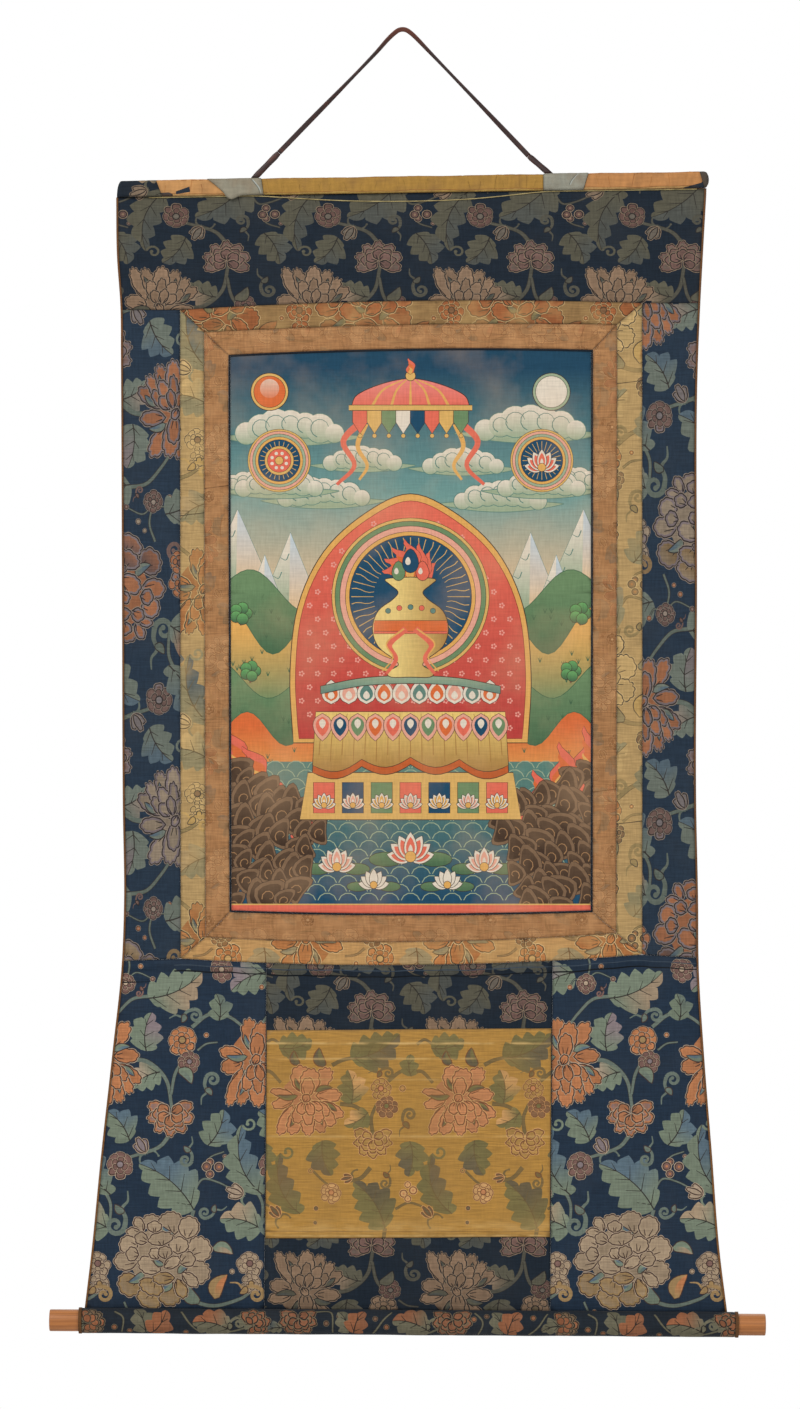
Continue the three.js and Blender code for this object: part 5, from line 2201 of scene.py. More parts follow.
    def marks_and_fold_shade(self, wrap: Wrap) -> Drawing:
        """Draw what shows on a wrap: hems, stitched lines, worn places, and painted shade and highlights
        along its folds.

        Args:
            wrap: the wrap.

        Returns:
            The drawing.
        """
        pen = Drawing()
        random = np.random.default_rng(len(wrap.node))
        span = np.arange(wrap.start - 10, wrap.end + 10, 6.0)
        if wrap.slot in ("orange_silk", "yellow_silk"):
            wave = 0.5 * np.sin(span / 17.0) + 0.3 * np.sin(span / 7.0)
            hem = span + 1j * (-8.6 + wave)
            yellow = wrap.slot == "yellow_silk"
            pen.add(ribbon(hem - 1.6j, 4.6, 4.6), Fill(self.yellow_hem if yellow else self.orange_hem))
            pen.add(ribbon(hem + 0.7j, 0.7, 0.9), Fill(self.hem_line))
            for x in span[::2]:
                dash = x + 3 * random.uniform(0, 1) + 1j * (9.2 + 0.6 * np.sin(x / 13.0))
                pen.add(ribbon(dash + np.linspace(0, 7, 4), 0.9, 0.5), Fill(self.stitches))
            # Painted shade: darker slanted lines along the folds of the wrap
            fold_shades = self.yellow_fold_shade if yellow else self.orange_fold_shade
            for x in np.arange(wrap.start + 12, wrap.end - 6, 11.0 if yellow else 23.0):
                start = x + random.uniform(-7, 7) - 7.5j
                end = start + random.uniform(-4, 4) + 1j * random.uniform(9, 18)
                bent = smooth_path([start, (start + end) / 2 + random.uniform(-1, 1), end], 5)
                pen.add(ribbon(bent, 0.5, 0.95), Fill(random.choice(fold_shades)))
        if wrap.node == "wrap_orange_left":
            pen.add(np.array([-303 - 6j, -292 - 5.6j, -287 - 7.6j, -287 - 12j, -303 - 12j]),
                    Fill(self.dark_corner))
            pen.add(np.array([-283 - 4.5j, -266 + 1.2j, -265 - 5.4j, -283 - 8.2j]), Fill(self.dark_strip))
        if wrap.node == "wrap_orange_right":
            pen.add(np.array([352 - 9.4j, 373 - 4j, 377 + 0.5j, 378 - 13j, 350 - 13j]),
                    Fill(self.dark_corner))
        if wrap.slot == "grey_silk":
            fold = (-189 + 9j, -181 - 1j, -178 - 9j) if wrap.start < 0 else (218 + 10j, 211 + 2j, 208 - 4j)
            line = smooth_path(list(fold), 6)
            # Painted shade in the crease, and a painted highlight on the fold next to it
            pen.add(ribbon(line, 0.9, 0.6), Fill(self.grey_crease_shade))
            pen.add(ribbon(line + 1.6, 1.4, 0.9), Fill(self.grey_fold_highlight))
        return pen

    def build(self, repeat: BrocadeRepeat) -> None:
        """Make the wraps along the stave.

        Args:
            repeat: the navy brocade's repeat.
        """
        silk = WRAP_SILK.material()
        navy = NAVY_SILK.material()
        for wrap in WRAPS:
            proud = self.patch_proud if wrap.slot == "grey_silk" else 0.0
            place, along, points = self.placer(wrap, proud)

            def cut(start: float, slant: float, along: np.ndarray = along, points: Points = points) -> Edge:
                """Make a slanted end of a wrap."""
                return lambda v: start + slant * np.interp(v, along, points.imag) / self.height

            patch = Patch(cut(wrap.start, wrap.start_slant), cut(wrap.end, wrap.end_slant),
                          flat_line(along[-1]), flat_line(along[0]), self.gap)
            loop = patch.loop(3.0)
            around = np.arange(along[0] + 1, along[-1] - 0.5, 1.6)
            steps = np.arange(wrap.start - 14, wrap.end + 14, 2.4)
            ends = [self.left + d for d in self.near_end] + [self.right - d for d in self.near_end]
            extra = (np.concatenate([steps, ends])[None, :] + 1j * around[:, None]).ravel()
            drawing = self.marks_and_fold_shade(wrap)
            ground = Fill(wrap.colour)
            if wrap.slot == "navy_brocade":
                cutting = Cutting(NAVY_DIM, HEAD_PEONY - 1j * float(self.middle(-330.0)), Lie.FLIPPED,
                                  squeeze=REVERSE_SQUEEZE)
                drawing = cutting.drawn(repeat, complex(loop.real.min(), -16), complex(loop.real.max(), 24))
            sheet = SheetMesh(f"{wrap.node}_silk", loop, ground, drawing, place, self.silk, wrap.colour,
                              grid=60.0, roll=0.15, edge_shade=0.72, rings=(0.7,), extra=extra)
            made = sheet.build()
            settle(made, wrap.node, navy if wrap.slot == "navy_brocade" else silk)


STAVE = Stave()
HEAD_PEONY = complex(-293, -342)
REVERSE_SQUEEZE = 0.87
SIDE_STRETCH = 1.15


# Roller


@dataclass
class Roller:
    """The pine rod at the foot, its brocade sleeve and the tapes that close the sleeve's ends."""

    left: float = -440.5
    right: float = 453.0
    middle_x: float = 6.0
    middle_z: float = -1612.3
    y: float = -6.0
    tilt: float = -0.36
    diameter: float = 27.0
    sleeve_left: float = -400.0
    sleeve_right: float = 415.0
    sleeve_outer: float = 31.4
    sleeve_inner: float = 27.8
    tape_width: float = 4.0
    tape_outer: float = 33.0
    gap: float = 0.05
    blossom: complex = -386 + 0j
    repeat_height: float = 46.5
    repeat_width: float = 590.0
    tape_colour: str = "6a482b"
    tape_inside: str = "5a4028"

    def middle(self, x: np.ndarray) -> np.ndarray:
        """Give z of the roller's axis."""
        return self.middle_z + (x - self.middle_x) * math.tan(math.radians(self.tilt))

    def rod(self) -> bpy.types.Object:
        """Turn the rod: a long cylinder with eased ends and saw-cut faces."""
        bpy.ops.object.select_all(action="DESELECT")
        length, centre = (self.right - self.left) * MM, (self.left + self.right) / 2
        bpy.ops.mesh.primitive_cylinder_add(
            vertices=48, radius=self.diameter / 2 * MM, depth=length, end_fill_type="NGON",
            location=(centre * MM, self.y * MM, float(self.middle(centre)) * MM),
            rotation=(0, math.radians(90 - self.tilt), 0))
        rod = bpy.context.object
        rod.name = rod.data.name = "roller_rod_pine"
        bpy.ops.object.transform_apply(location=True, rotation=True, scale=True)
        bpy.ops.object.mode_set(mode="EDIT")
        bpy.ops.mesh.select_mode(type="FACE")
        bpy.ops.mesh.select_all(action="DESELECT")
        bpy.ops.object.mode_set(mode="OBJECT")
        for face in rod.data.polygons:
            face.select = abs(face.normal.x) > 0.9
        bpy.ops.object.mode_set(mode="EDIT")
        bpy.ops.mesh.bevel(offset=1.3 * MM, segments=4, affect="EDGES")
        bpy.ops.object.mode_set(mode="OBJECT")
        for face in rod.data.polygons:
            face.select = abs(face.normal.x) > 0.99
        bpy.ops.object.mode_set(mode="EDIT")
        for thickness, depth in ((2.4, 0.15), (3.6, -0.2), (3.0, 0.12)):
            bpy.ops.mesh.inset(thickness=thickness * MM, depth=depth * MM, use_individual=True)
        bpy.ops.mesh.select_all(action="DESELECT")
        bpy.ops.object.mode_set(mode="OBJECT")
        for edge in rod.data.edges:
            a, b = (rod.data.vertices[i].co for i in edge.vertices)
            edge.select = abs(a.x - b.x) > 0.5 * length
        bpy.ops.object.mode_set(mode="EDIT")
        bpy.ops.mesh.select_mode(type="EDGE")
        bpy.ops.mesh.subdivide(number_cuts=40)
        bpy.ops.mesh.select_all(action="DESELECT")
        bpy.ops.object.mode_set(mode="OBJECT")
        for vertex in rod.data.vertices:
            x = vertex.co.x / MM
            uneven = 0.12 * math.sin(x / 37.0) + 0.1 * math.sin(x / 14.0 + vertex.co.z * 300)
            vertex.co.y += uneven * MM
            vertex.co.z += 0.5 * uneven * MM
        bpy.ops.object.shade_smooth_by_angle(angle=math.radians(40))
        rod.select_set(False)
        return rod

    def around(self, radius: float, uneven: float) -> Place:
        """Make the rule that puts a flat strip round the rod.

        Args:
            radius: of the strip's outer face.
            uneven: how far the cloth bulges here and there.

        Returns:
            The rule.
        """
        def place(flat: Points, out: np.ndarray) -> np.ndarray:
            """Give points in space round the rod.

            Args:
                flat: the flat places.
                out: how far each stands out.

            Returns:
                The points.
            """
            x, angle = flat.real, flat.imag / radius
            swell = np.sin(x / 31.0 + 2 * angle) * np.sin(x / 83.0 + angle)
            bulge = uneven * (swell + 0.4 * np.sin(x / 11.0))
            reach = radius + out + bulge * (out > 0)
            y, z = self.y - reach * np.cos(angle), self.middle(x) + reach * np.sin(angle)
            return np.column_stack([x, y, z])
        return place

    def strip(self, name: str, start: float, end: float, outer: float, inner: float, ground: Fill,
              drawing: Drawing, uneven: float, back: str) -> tuple[bpy.types.Object, Points]:
        """Wrap one strip of cloth round the rod.

        Args:
            name: the piece's name.
            start: its left end.
            end: its right end.
            outer: its outer diameter.
            inner: its inner diameter.
            ground: its ground colour.
            drawing: what is woven on it.
            uneven: how far it bulges.
            back: colour of its inner face.

        Returns:
            The piece and its flat outline.
        """
        thickness = (outer - inner) / 2
        radius = (outer + inner) / 4
        half = math.pi * radius - 0.15
        patch = Patch(flat_line(start), flat_line(end), flat_line(half), flat_line(-half), 0.0)
        loop = patch.loop(3.0)
        along = np.arange(start + 2, end - 1, 6.0 if end - start > 20 else 1.5)
        turn = np.arange(-half + 1.5, half - 1, 2.4)
        extra = (along[None, :] + 1j * turn[:, None]).ravel()
        sheet = SheetMesh(name, loop, ground, drawing, self.around(radius, uneven), thickness, back,
                          grid=400.0, roll=0.4, edge_shade=0.8, rings=(0.8,), extra=extra)
        return sheet.build(), loop

    def build(self) -> None:
        """Make the rod, the sleeve in a repeat of its own and the end tapes."""
        settle(self.rod(), "roller_rod", Pine().material())
        navy = NAVY_SILK.material()
        tape = COTTON_TAPE.material()
        repeat = BrocadeRepeat(SLEEVE_STEMS, SLEEVE_SPROUTS, self.repeat_height, self.repeat_width)
        cutting = Cutting(NAVY_SLEEVE, self.blossom)
        drawing = cutting.drawn(repeat, complex(self.sleeve_left, -52), complex(self.sleeve_right, 52))
        sleeve, loop = self.strip(
            "roller_sleeve_brocade", self.sleeve_left, self.sleeve_right, self.sleeve_outer,
            self.sleeve_inner, Fill(NAVY_SLEEVE.ground), drawing, 0.25, NAVY_SLEEVE.ground)
        settle(sleeve, "roller_sleeve", navy)
        rows = (("left", self.sleeve_left - self.gap - self.tape_width, self.sleeve_left - self.gap),
                ("right", self.sleeve_right + self.gap, self.sleeve_right + self.gap + self.tape_width))
        for side, start, end in rows:
            made, _ = self.strip(f"sleeve_binding_{side}_tape", start, end, self.tape_outer,
                                 self.sleeve_inner, Fill(self.tape_colour), Drawing(), 0.35, self.tape_inside)
            settle(made, f"sleeve_binding_{side}", tape)


ROLLER = Roller()


# Painting, borders and mount


@dataclass(frozen=True)
class Pigments:
    """Mineral colours of the painting."""

    night: str = "23465c"
    sky: str = "6f9690"
    haze: str = "d9b890"
    jade: str = "9aa88a"
    teal: str = "5b7f74"
    leaf: str = "6b8760"
    moss: str = "47664a"
    coral: str = "dc6a55"
    rose: str = "dfa08a"
    orange: str = "d46a3a"
    saffron: str = "dba55a"
    gold: str = "d6aa62"
    ochre: str = "a67c44"
    umber: str = "5a4636"
    bark: str = "7b614a"
    white: str = "ddd0bd"
    blue: str = "234a63"
    snow_shade: str = "b9c8cf"
    tree: str = "6aa262"
    crimson: str = "b8423d"
    maroon: str = "8f342f"
    blush: str = "e39a8c"
    glaze: str = "e3c67c"
    rust: str = "b5572a"
    straw: str = "e2c071"
    dome: str = "e2837a"
    peat: str = "3c2d24"
    tan: str = "a07a55"
    ink: str = "3d302a"


@dataclass
class PaintedDesign:
    """A landscape of emblems: a vase of jewels on a lotus seat, under a canopy, above a lake."""

    axis: float = 10.0
    foot: float = -1102.0
    half: float = 232.0
    tall: float = 712.0
    paint: Pigments = field(default_factory=Pigments)
    pen: Drawing = field(default_factory=Drawing)

    def lay(self, outline: Points, fill: object, line: Optional[str] = None, width: float = 0.9) -> None:
        """Paint an outline in the design's own places, with a line round it if one is given.

        Args:
            outline: the outline.
            fill: its colour.
            line: the line's colour.
            width: the line's width.
        """
        placed = np.asarray(outline, complex) + complex(self.axis, self.foot)
        tint = Fill(fill) if isinstance(fill, str) else fill
        if line is not None:
            self.pen.add(offset(placed, width), Fill(line))
        self.pen.add(placed, tint)

    def run(self, low: str, high: str, start: float, end: float) -> Fill:
        """Make a colour that changes from one height to another."""
        return Fill(low, high, complex(0, self.foot + start), complex(0, self.foot + end))

    def stripe(self, path: Sequence[complex], start: float, end: float, fill: object) -> None:
        """Paint a tapering brush line through places."""
        self.lay(ribbon(smooth_path(list(path), 6), start, end), fill)

    def drawn(self) -> Drawing:
        """Paint the design from the back to the front."""
        self.sky()
        for side in (-1, 1):
            self.peaks(side)
            self.hills(side)
        self.lights()
        for side in (-1, 1):
            self.medallion(side)
        self.arched_back()
        self.lake()
        for side in (-1, 1):
            self.rocks(side)
        self.pedestal()
        self.vase()
        self.canopy()
        self.foot_band()
        self.pen.cull()
        return self.pen

    def band(self, low: float, high: float, fill: object) -> None:
        """Paint a level band across the canvas."""
        across = np.linspace(-self.half, self.half, 40)
        self.lay(np.concatenate([across + 1j * low, across[::-1] + 1j * high]), fill)

    def sky(self) -> None:
        """Paint the sky and its clouds."""
        p = self.paint
        self.band(520, self.tall, self.run(p.sky, p.night, 520, 680))
        self.band(300, 520, self.run(p.haze, p.sky, 400, 520))
        rows = ((-150, 596, 128), (150, 600, 132), (-60, 560, 92), (66, 556, 96),
                (-196, 530, 90), (198, 534, 92), (-108, 516, 110), (112, 512, 110))
        for x, y, width in rows:
            self.cloud(x, y, width)

    def cloud(self, x: float, y: float, width: float) -> None:
        """Paint a bank of round cloud heads over a long thin foot.

        Args:
            x: its middle across.
            y: its foot.
            width: its width.
        """
        p = self.paint
        random = np.random.default_rng(int(abs(x) * 7 + y))
        heads = []
        for share in np.linspace(-0.86, 0.86, 7):
            radius = width * 0.15 * (1 - 0.42 * share ** 2) * random.uniform(0.85, 1.12)
            heads.append((complex(x + share * width / 2, y + width * 0.12 * (1 - share ** 2)), radius))
        tail = np.linspace(-1, 1, 13)
        foot = np.concatenate([tail * width * 0.72 + 1j * (1 - tail ** 2) * 4, tail[::-1] * width * 0.72
                               - 1j * (1 - tail ** 2) * width * 0.09])
        self.lay(complex(x, y) + foot, p.jade, p.teal)
        for centre, radius in heads:
            self.lay(circle(centre, radius + 0.9, 18), p.teal)
        for centre, radius in heads:
            fill = self.run(p.jade, p.white, centre.imag - radius, centre.imag + radius * 0.8)
            self.lay(circle(centre, radius, 18), fill)
        for centre, radius in heads[1:-1]:
            arc = centre + 0.62 * radius * np.exp(1j * np.linspace(0.2, 4.4, 9))
            self.lay(ribbon(arc, 0.7, 1.3), p.teal)

    def peaks(self, side: int) -> None:
        """Paint snow peaks at one side.

        Args:
            side: -1 at the viewer's left, 1 at the right.
        """
        p = self.paint
        for x, y, wide in ((216, 505, 92), (150, 476, 84), (182, 448, 78)):
            top = complex(side * x, y)
            left, right = complex(side * x - wide / 2, y - 104), complex(side * x + wide / 2, y - 104)
            self.lay(np.array([left, right, top]), self.run(p.jade, p.white, y - 90, y - 20), p.teal)
            shade = np.array([complex(side * x - 2, y - 104), right, top])
            self.lay(shade, self.run(p.haze, p.snow_shade, y - 90, y))
            for share in (0.3, 0.52, 0.74):
                start = top + (left - top) * share
                self.stripe([start, start + 7 - 3j, start + 11 + 5j], 0.6, 1.3, p.teal)

    def hills(self, side: int) -> None:
        """Paint green and golden hills at one side, with tufts and round trees.

        Args:
            side: -1 at the viewer's left, 1 at the right.
        """
        p = self.paint
        random = np.random.default_rng(5 + side)
        rows = ((388, 22, 0.028, p.leaf, p.moss), (334, 26, 0.034, p.saffron, p.leaf),
                (272, 20, 0.03, p.leaf, p.moss), (214, 18, 0.04, p.orange, p.saffron))
        for height, rise, rate, top, low in rows:
            x = np.linspace(60, 236, 23)
            ridge = side * x + 1j * (height + rise * np.sin(rate * x * 1.7 + height) + 0.14 * (x - 60))
            fill = self.run(low, top, height - 70, height + 20)
            foot = [side * 236 + 1j * (height - 120), side * 60 + 1j * (height - 120)]
            self.lay(np.concatenate([ridge, foot]), fill, p.moss)
            for _ in range(15):
                at = complex(side * random.uniform(70, 226), height - random.uniform(8, 46))
                for lean in (-0.5, 0, 0.5):
                    self.lay(ribbon(at + np.linspace(0, 1, 3) * (lean * 5 + 6j), 1.1, 0.5), p.moss)
        for x, y, size in ((96, 330, 12), (212, 372, 13), (200, 300, 12), (84, 262, 11)):
            self.stripe([complex(side * x, y - 12), complex(side * x, y)], 2.4, 1.6, p.bark)
            for angle in range(5):
                head = complex(side * x, y + 3) + 0.55 * size * np.exp(2j * np.pi * angle / 5)
                fill = self.run(p.moss, p.tree, head.imag - 6, head.imag + 6)
                self.lay(circle(head, 0.55 * size, 12), fill, p.ink, 0.6)

    def lights(self) -> None:
        """Paint the sun and the moon in the upper corners."""
        p = self.paint
        for side, disc, rim in ((-1, p.orange, p.gold), (1, p.white, p.jade)):
            centre = complex(side * 176, 652)
            self.lay(circle(centre, 23, 30), rim, p.ink)
            self.lay(circle(centre, 19.5, 30), disc, p.ink, 0.6)
            self.lay(circle(centre + 4j, 12, 22), self.run(disc, p.white, 640, 680))

    def petal(self, base: complex, turn: complex, length: float, width: float, fill: object,
              tip: str) -> None:
        """Paint a pointed lotus petal with a pale tip.

        Args:
            base: where it starts.
            turn: the way it points.
            length: its length.
            width: its width.
            fill: its colour.
            tip: the tip's colour.
        """
        s = np.linspace(0, 1, 8)
        half = width / 2 * np.sin(np.pi * s ** 0.8) ** 0.75
        side = length * s + 1j * half
        outline = np.concatenate([side, np.conj(side[::-1][1:-1])])
        self.lay(base + turn * outline, tip, self.paint.ink, 0.7)
        inner = base + turn * (0.4 * length + (outline - 0.4 * length) * 0.72)
        self.lay(inner, fill)
        self.lay(base + turn * (0.3 * length + (outline - 0.3 * length) * 0.36), self.paint.white)

    def blossom(self, at: complex, size: float, fill: str) -> None:
        """Paint an open lotus.

        Args:
            at: its foot.
            size: its size.
            fill: its colour.
        """
        for angle in (-78, 78, -52, 52, -26, 26, 0):
            turn = 1j * np.exp(1j * math.radians(angle))
            self.petal(at, turn, size * (1 - 0.12 * abs(angle) / 78), size * 0.46, fill, self.paint.white)
        self.lay(circle(at + 0.1j * size, 0.2 * size, 12), self.paint.saffron, self.paint.ink, 0.6)

    def medallion(self, side: int) -> None:
        """Paint a round emblem in rainbow rings on a cloud.

        Args:
            side: -1 at the viewer's left, 1 at the right.
        """
        p = self.paint
        centre = complex(side * 164, 566)
        self.cloud(side * 164, 528, 104)
        for radius, tint in ((39, p.gold), (36.5, p.rose), (33, p.jade), (29.5, p.saffron), (26, p.blue)):
            self.lay(circle(centre, radius, 36), tint, p.ink, 0.5)
        for angle in np.arange(0, 360, 15):
            way = np.exp(1j * math.radians(angle))
            self.lay(ribbon(centre + way * np.array([12, 24]), 0.5, 0.8), p.gold)
        if side < 0:
            for k in range(8):
                way = np.exp(2j * np.pi * k / 8)
                self.lay(ribbon(centre + way * np.array([3, 17]), 2.4, 2.0), p.gold, p.ink, 0.5)
            for radius, tint in ((18, p.gold), (14.5, p.coral), (5, p.gold)):
                ring = circle(centre, radius, 26)
                self.lay(ring, tint, p.ink, 0.5)
            for k in range(8):
                way = np.exp(2j * np.pi * (k + 0.5) / 8)
                self.lay(circle(centre + way * 9.6, 2.2, 8), p.white)
        else:
            self.blossom(centre - 11j, 25, p.coral)

    def arched_back(self) -> None:
        """Paint the coral arch with its flowers, the round field in it and its rays."""
        p = self.paint
        arch = smooth_path([-146 + 214j, -150 + 300j, -140 + 384j, -108 + 452j, -56 + 500j, 0 + 524j,
                            56 + 500j, 108 + 452j, 140 + 384j, 150 + 300j, 146 + 214j], 6)
        self.lay(arch, p.saffron, p.ink, 1.1)
        middle = 330j
        inner = middle + (arch - middle) * 0.955
        self.lay(inner, self.run(p.crimson, p.coral, 240, 470), p.maroon, 0.8)
        for row, y in enumerate(range(232, 500, 17)):
            for x in range(-136, 137, 20):
                spot = complex(x + 10 * (row % 2), y)
                if within(np.array([spot]), middle + (inner - middle) * 0.96)[0]:
                    for k in range(5):
                        self.lay(circle(spot + 2.5 * np.exp(2j * np.pi * k / 5), 1.35, 6), p.blush)
        centre = 396j
        for radius, tint in ((98, p.gold), (94, p.leaf), (88, p.rose), (81, p.saffron), (76, p.blue)):
            self.lay(circle(centre, radius, 60), tint, p.ink, 0.6)
        for k in range(48):
            way = np.exp(2j * np.pi * k / 48)
            wave = centre + way * (np.linspace(46, 74, 6) + 1j * 1.6 * np.sin(np.linspace(0, 6, 6)) * (k % 2))
            self.lay(ribbon(wave, 0.6, 1.0), p.gold)

    def flame(self, base: complex, turn: complex, length: float, width: float) -> None:
        """Paint a tongue of flame in three tones.

        Args:
            base: where it starts.
            turn: the way it points.
            length: its length.
            width: its width.
        """
        p = self.paint
        s = np.linspace(0, 1, 10)
        for share, tint in ((1.0, p.coral), (0.76, p.orange), (0.48, p.saffron)):
            middle = length * share * (s + 0.16j * np.sin(2.6 * np.pi * s) * s)
            half = width * share / 2 * np.sin(np.pi * s ** 0.6) ** 0.9
            outline = np.concatenate([middle + 1j * half, (middle - 1j * half)[::-1][1:-1]])
            self.lay(base + turn * outline, tint, p.ink if share == 1.0 else None, 0.5)

    def vase(self) -> None:
        """Paint the vase, its sash and the flaming jewels in its mouth."""
        p = self.paint
        for angle in (-66, 66, -44, 44, -22, 22, 0):
            turn = 1j * np.exp(1j * math.radians(angle))
            self.flame(0 + 418j, turn, 50 - abs(angle) * 0.2, 22)
        right = [0 + 296j, 24 + 296j, 28 + 302j, 15 + 310j, 20 + 318j, 40 + 334j, 47 + 356j, 40 + 378j,
                 22 + 392j, 15 + 402j, 26 + 412j, 30 + 418j, 0 + 420j]
        profile = smooth_path(right, 4)
        whole = np.concatenate([profile, -np.conj(profile[::-1][1:-1])])
        glaze = Fill(p.ochre, p.glaze, complex(self.axis + 46, 0), complex(self.axis - 20, 0))
        self.lay(whole, glaze, p.ink, 1.0)
        for half, lift, tint in ((46, 0, p.coral), (45, 3j, p.orange)):
            sash = np.array([-half + 363j, -half + 350j, half + 350j, half + 363j])
            self.lay(sash + lift, tint, p.ink, 0.5)
        for side in (-1, 1):
            self.stripe([side * 6 + 356j, side * 26 + 336j, side * 18 + 318j, side * 30 + 300j],
                        8, 4, p.coral)
            self.stripe([side * 8 + 356j, side * 30 + 338j, side * 22 + 320j, side * 35 + 303j],
                        2, 1.4, p.saffron)
        for x in (-28, -14, 0, 14, 28):
            bead = circle(complex(x, 383 - 0.006 * x * x), 3.2, 10)
            self.lay(bead, (p.teal, p.coral)[abs(x) // 14 % 2], p.ink, 0.5)
        for x, y, size, tint in ((-15, 426, 13, p.leaf), (15, 426, 13, p.coral), (0, 438, 16, p.blue)):
            drop = np.exp(1j * np.linspace(0, 2 * np.pi, 17)[:-1])
            stretched = drop.real * 0.62 + 1j * (drop.imag * 0.75 + 0.35 * np.maximum(drop.imag, 0) ** 3)
            self.lay(complex(x, y) + size * stretched, tint, p.ink, 0.7)
            self.lay(complex(x - 0.2 * size, y + 0.1 * size) + 0.34 * size * stretched, p.white)

    def pedestal(self) -> None:
        """Paint the lotus seat, its silk cover and the carved base."""
        p = self.paint
        base = np.array([-138 + 118j, 138 + 118j, 128 + 176j, -128 + 176j])
        self.lay(base, p.gold, p.ink, 1.0)
        for k in range(7):
            x = -108 + 36 * k
            panel = np.array([x - 13 + 126j, x + 13 + 126j, x + 13 + 164j, x - 13 + 164j])
            self.lay(panel, (p.coral, p.blue, p.leaf)[k % 3], p.ink, 0.7)
            self.blossom(complex(x, 134), 17, (p.saffron, p.rose)[k % 2])
        x = np.linspace(-122, 122, 33)
        hem = x + 1j * (196 - 12 * np.abs(np.sin(np.pi * (x + 122) / 61)) - 0.0007 * x * x)
        cloth = np.concatenate([hem, [118 + 252j, -118 + 252j]])
        self.lay(cloth + 0 - 9j, self.run(p.rust, p.orange, 170, 230), p.ink, 1.0)
        self.lay(cloth, self.run(p.ochre, p.straw, 180, 246), p.ink, 0.8)
        for k in range(17):
            at = -112 + 14 * k
            self.stripe([at * 0.94 + 250j, at + 222j, at * 1.02 + (198 - 8 * (k % 2)) * 1j],
                        0.7, 1.3, p.ochre)
        for k in range(11):
            at = complex(-110 + 22 * k, 250)
            self.petal(at, -1j, 34, 23, (p.coral, p.blue, p.leaf, p.orange)[k % 4], p.rose)
        for k in range(10):
            at = complex(-99 + 22 * k, 262)
            self.petal(at, 1j, 30, 23, (p.orange, p.rose, p.teal)[k % 3], p.white)
        seat = smooth_path([-112 + 284j, -60 + 294j, 0 + 297j, 60 + 294j, 112 + 284j], 6)
        self.lay(np.concatenate([seat, (seat - 9j)[::-1]]), self.run(p.teal, p.jade, 276, 298), p.ink, 0.9)

    def canopy(self) -> None:
        """Paint the silk canopy with its valance and streamers."""
        p = self.paint
        for side in (-1, 1):
            self.stripe([side * 60 + 616j, side * 84 + 590j, side * 70 + 560j, side * 92 + 536j],
                        9, 4, p.coral)
            self.stripe([side * 56 + 612j, side * 66 + 584j, side * 54 + 560j, side * 64 + 542j],
                        7, 3, p.saffron)
        for k in range(8):
            x = -63 + 18 * k
            tint = (p.coral, p.gold, p.leaf, p.white, p.blue)[k % 5]
            flag = np.array([x - 9 + 634j, x - 9 + 614j, x + 600j, x + 9 + 614j, x + 9 + 634j])
            self.lay(flag, tint, p.ink, 0.7)
            self.lay(circle(complex(x, 597), 2.6, 8), p.gold, p.ink, 0.5)
        dome = smooth_path([-74 + 632j, -66 + 648j, -34 + 662j, 0 + 668j, 34 + 662j, 66 + 648j, 74 + 632j], 6)
        self.lay(dome, self.run(p.coral, p.dome, 632, 668), p.ink, 1.0)
        for x in (-48, -24, 0, 24, 48):
            self.stripe([complex(x, 634), complex(x * 0.72, 654), complex(x * 0.2, 667)], 3.4, 1.2, p.saffron)
        self.lay(np.array([-77 + 629j, 77 + 629j, 77 + 635j, -77 + 635j]), p.gold, p.ink, 0.8)
        self.lay(circle(0 + 672j, 6, 14), p.gold, p.ink, 0.8)
        self.flame(0 + 674j, 1j, 20, 10)

    def lake(self) -> None:
        """Paint the lake with rows of waves, lotuses and their leaves."""
        p = self.paint
        self.band(0, 190, self.run(p.blue, p.teal, 20, 180))
        for row, y in enumerate(range(20, 186, 11)):
            for k in range(-8, 9):
                x = 26 * k + 13 * (row % 2)
                arc = complex(x, y) + 12 * np.exp(1j * np.linspace(0.25, np.pi - 0.25, 6)) - 6j
                self.lay(ribbon(arc, 1.1, 1.1), p.jade)
        for x, y, size, tint in ((-92, 62, 27, p.rose), (92, 62, 27, p.rose), (0, 74, 34, p.coral),
                                 (-46, 40, 22, p.white), (46, 40, 22, p.white)):
            for side in (-1, 1):
                leaf = complex(x + side * size * 0.9, y - 6)
                angle = np.linspace(0, 2 * np.pi, 15)[:-1]
                pad = leaf + size * 0.62 * (np.cos(angle) + 0.42j * np.sin(angle))
                self.lay(pad, self.run(p.moss, p.leaf, y - 16, y + 6), p.ink, 0.7)
            self.blossom(complex(x, y - 6), size, tint)

    def rocks(self, side: int) -> None:
        """Paint curled brown rocks at one side, with tongues of flame behind them.

        Args:
            side: -1 at the viewer's left, 1 at the right.
        """
        random = np.random.default_rng(23 + side)
        for x, y, length in ((214, 196, 64), (186, 182, 58), (160, 150, 56), (136, 112, 44), (202, 150, 60)):
            turn = 1j * np.exp(1j * math.radians(side * random.uniform(-24, 16)))
            self.flame(complex(side * x, y - 26), turn, length, 26)
        for row in range(7):
            for k in range(8 - row // 2):
                x = side * (222 - 15 * k - random.uniform(0, 6))
                y = 172 - 26 * row + random.uniform(-6, 6) - 7 * k
                if y > 4 and abs(x) > 104:
                    self.curl(complex(x, y), side, random.uniform(13, 19), random)

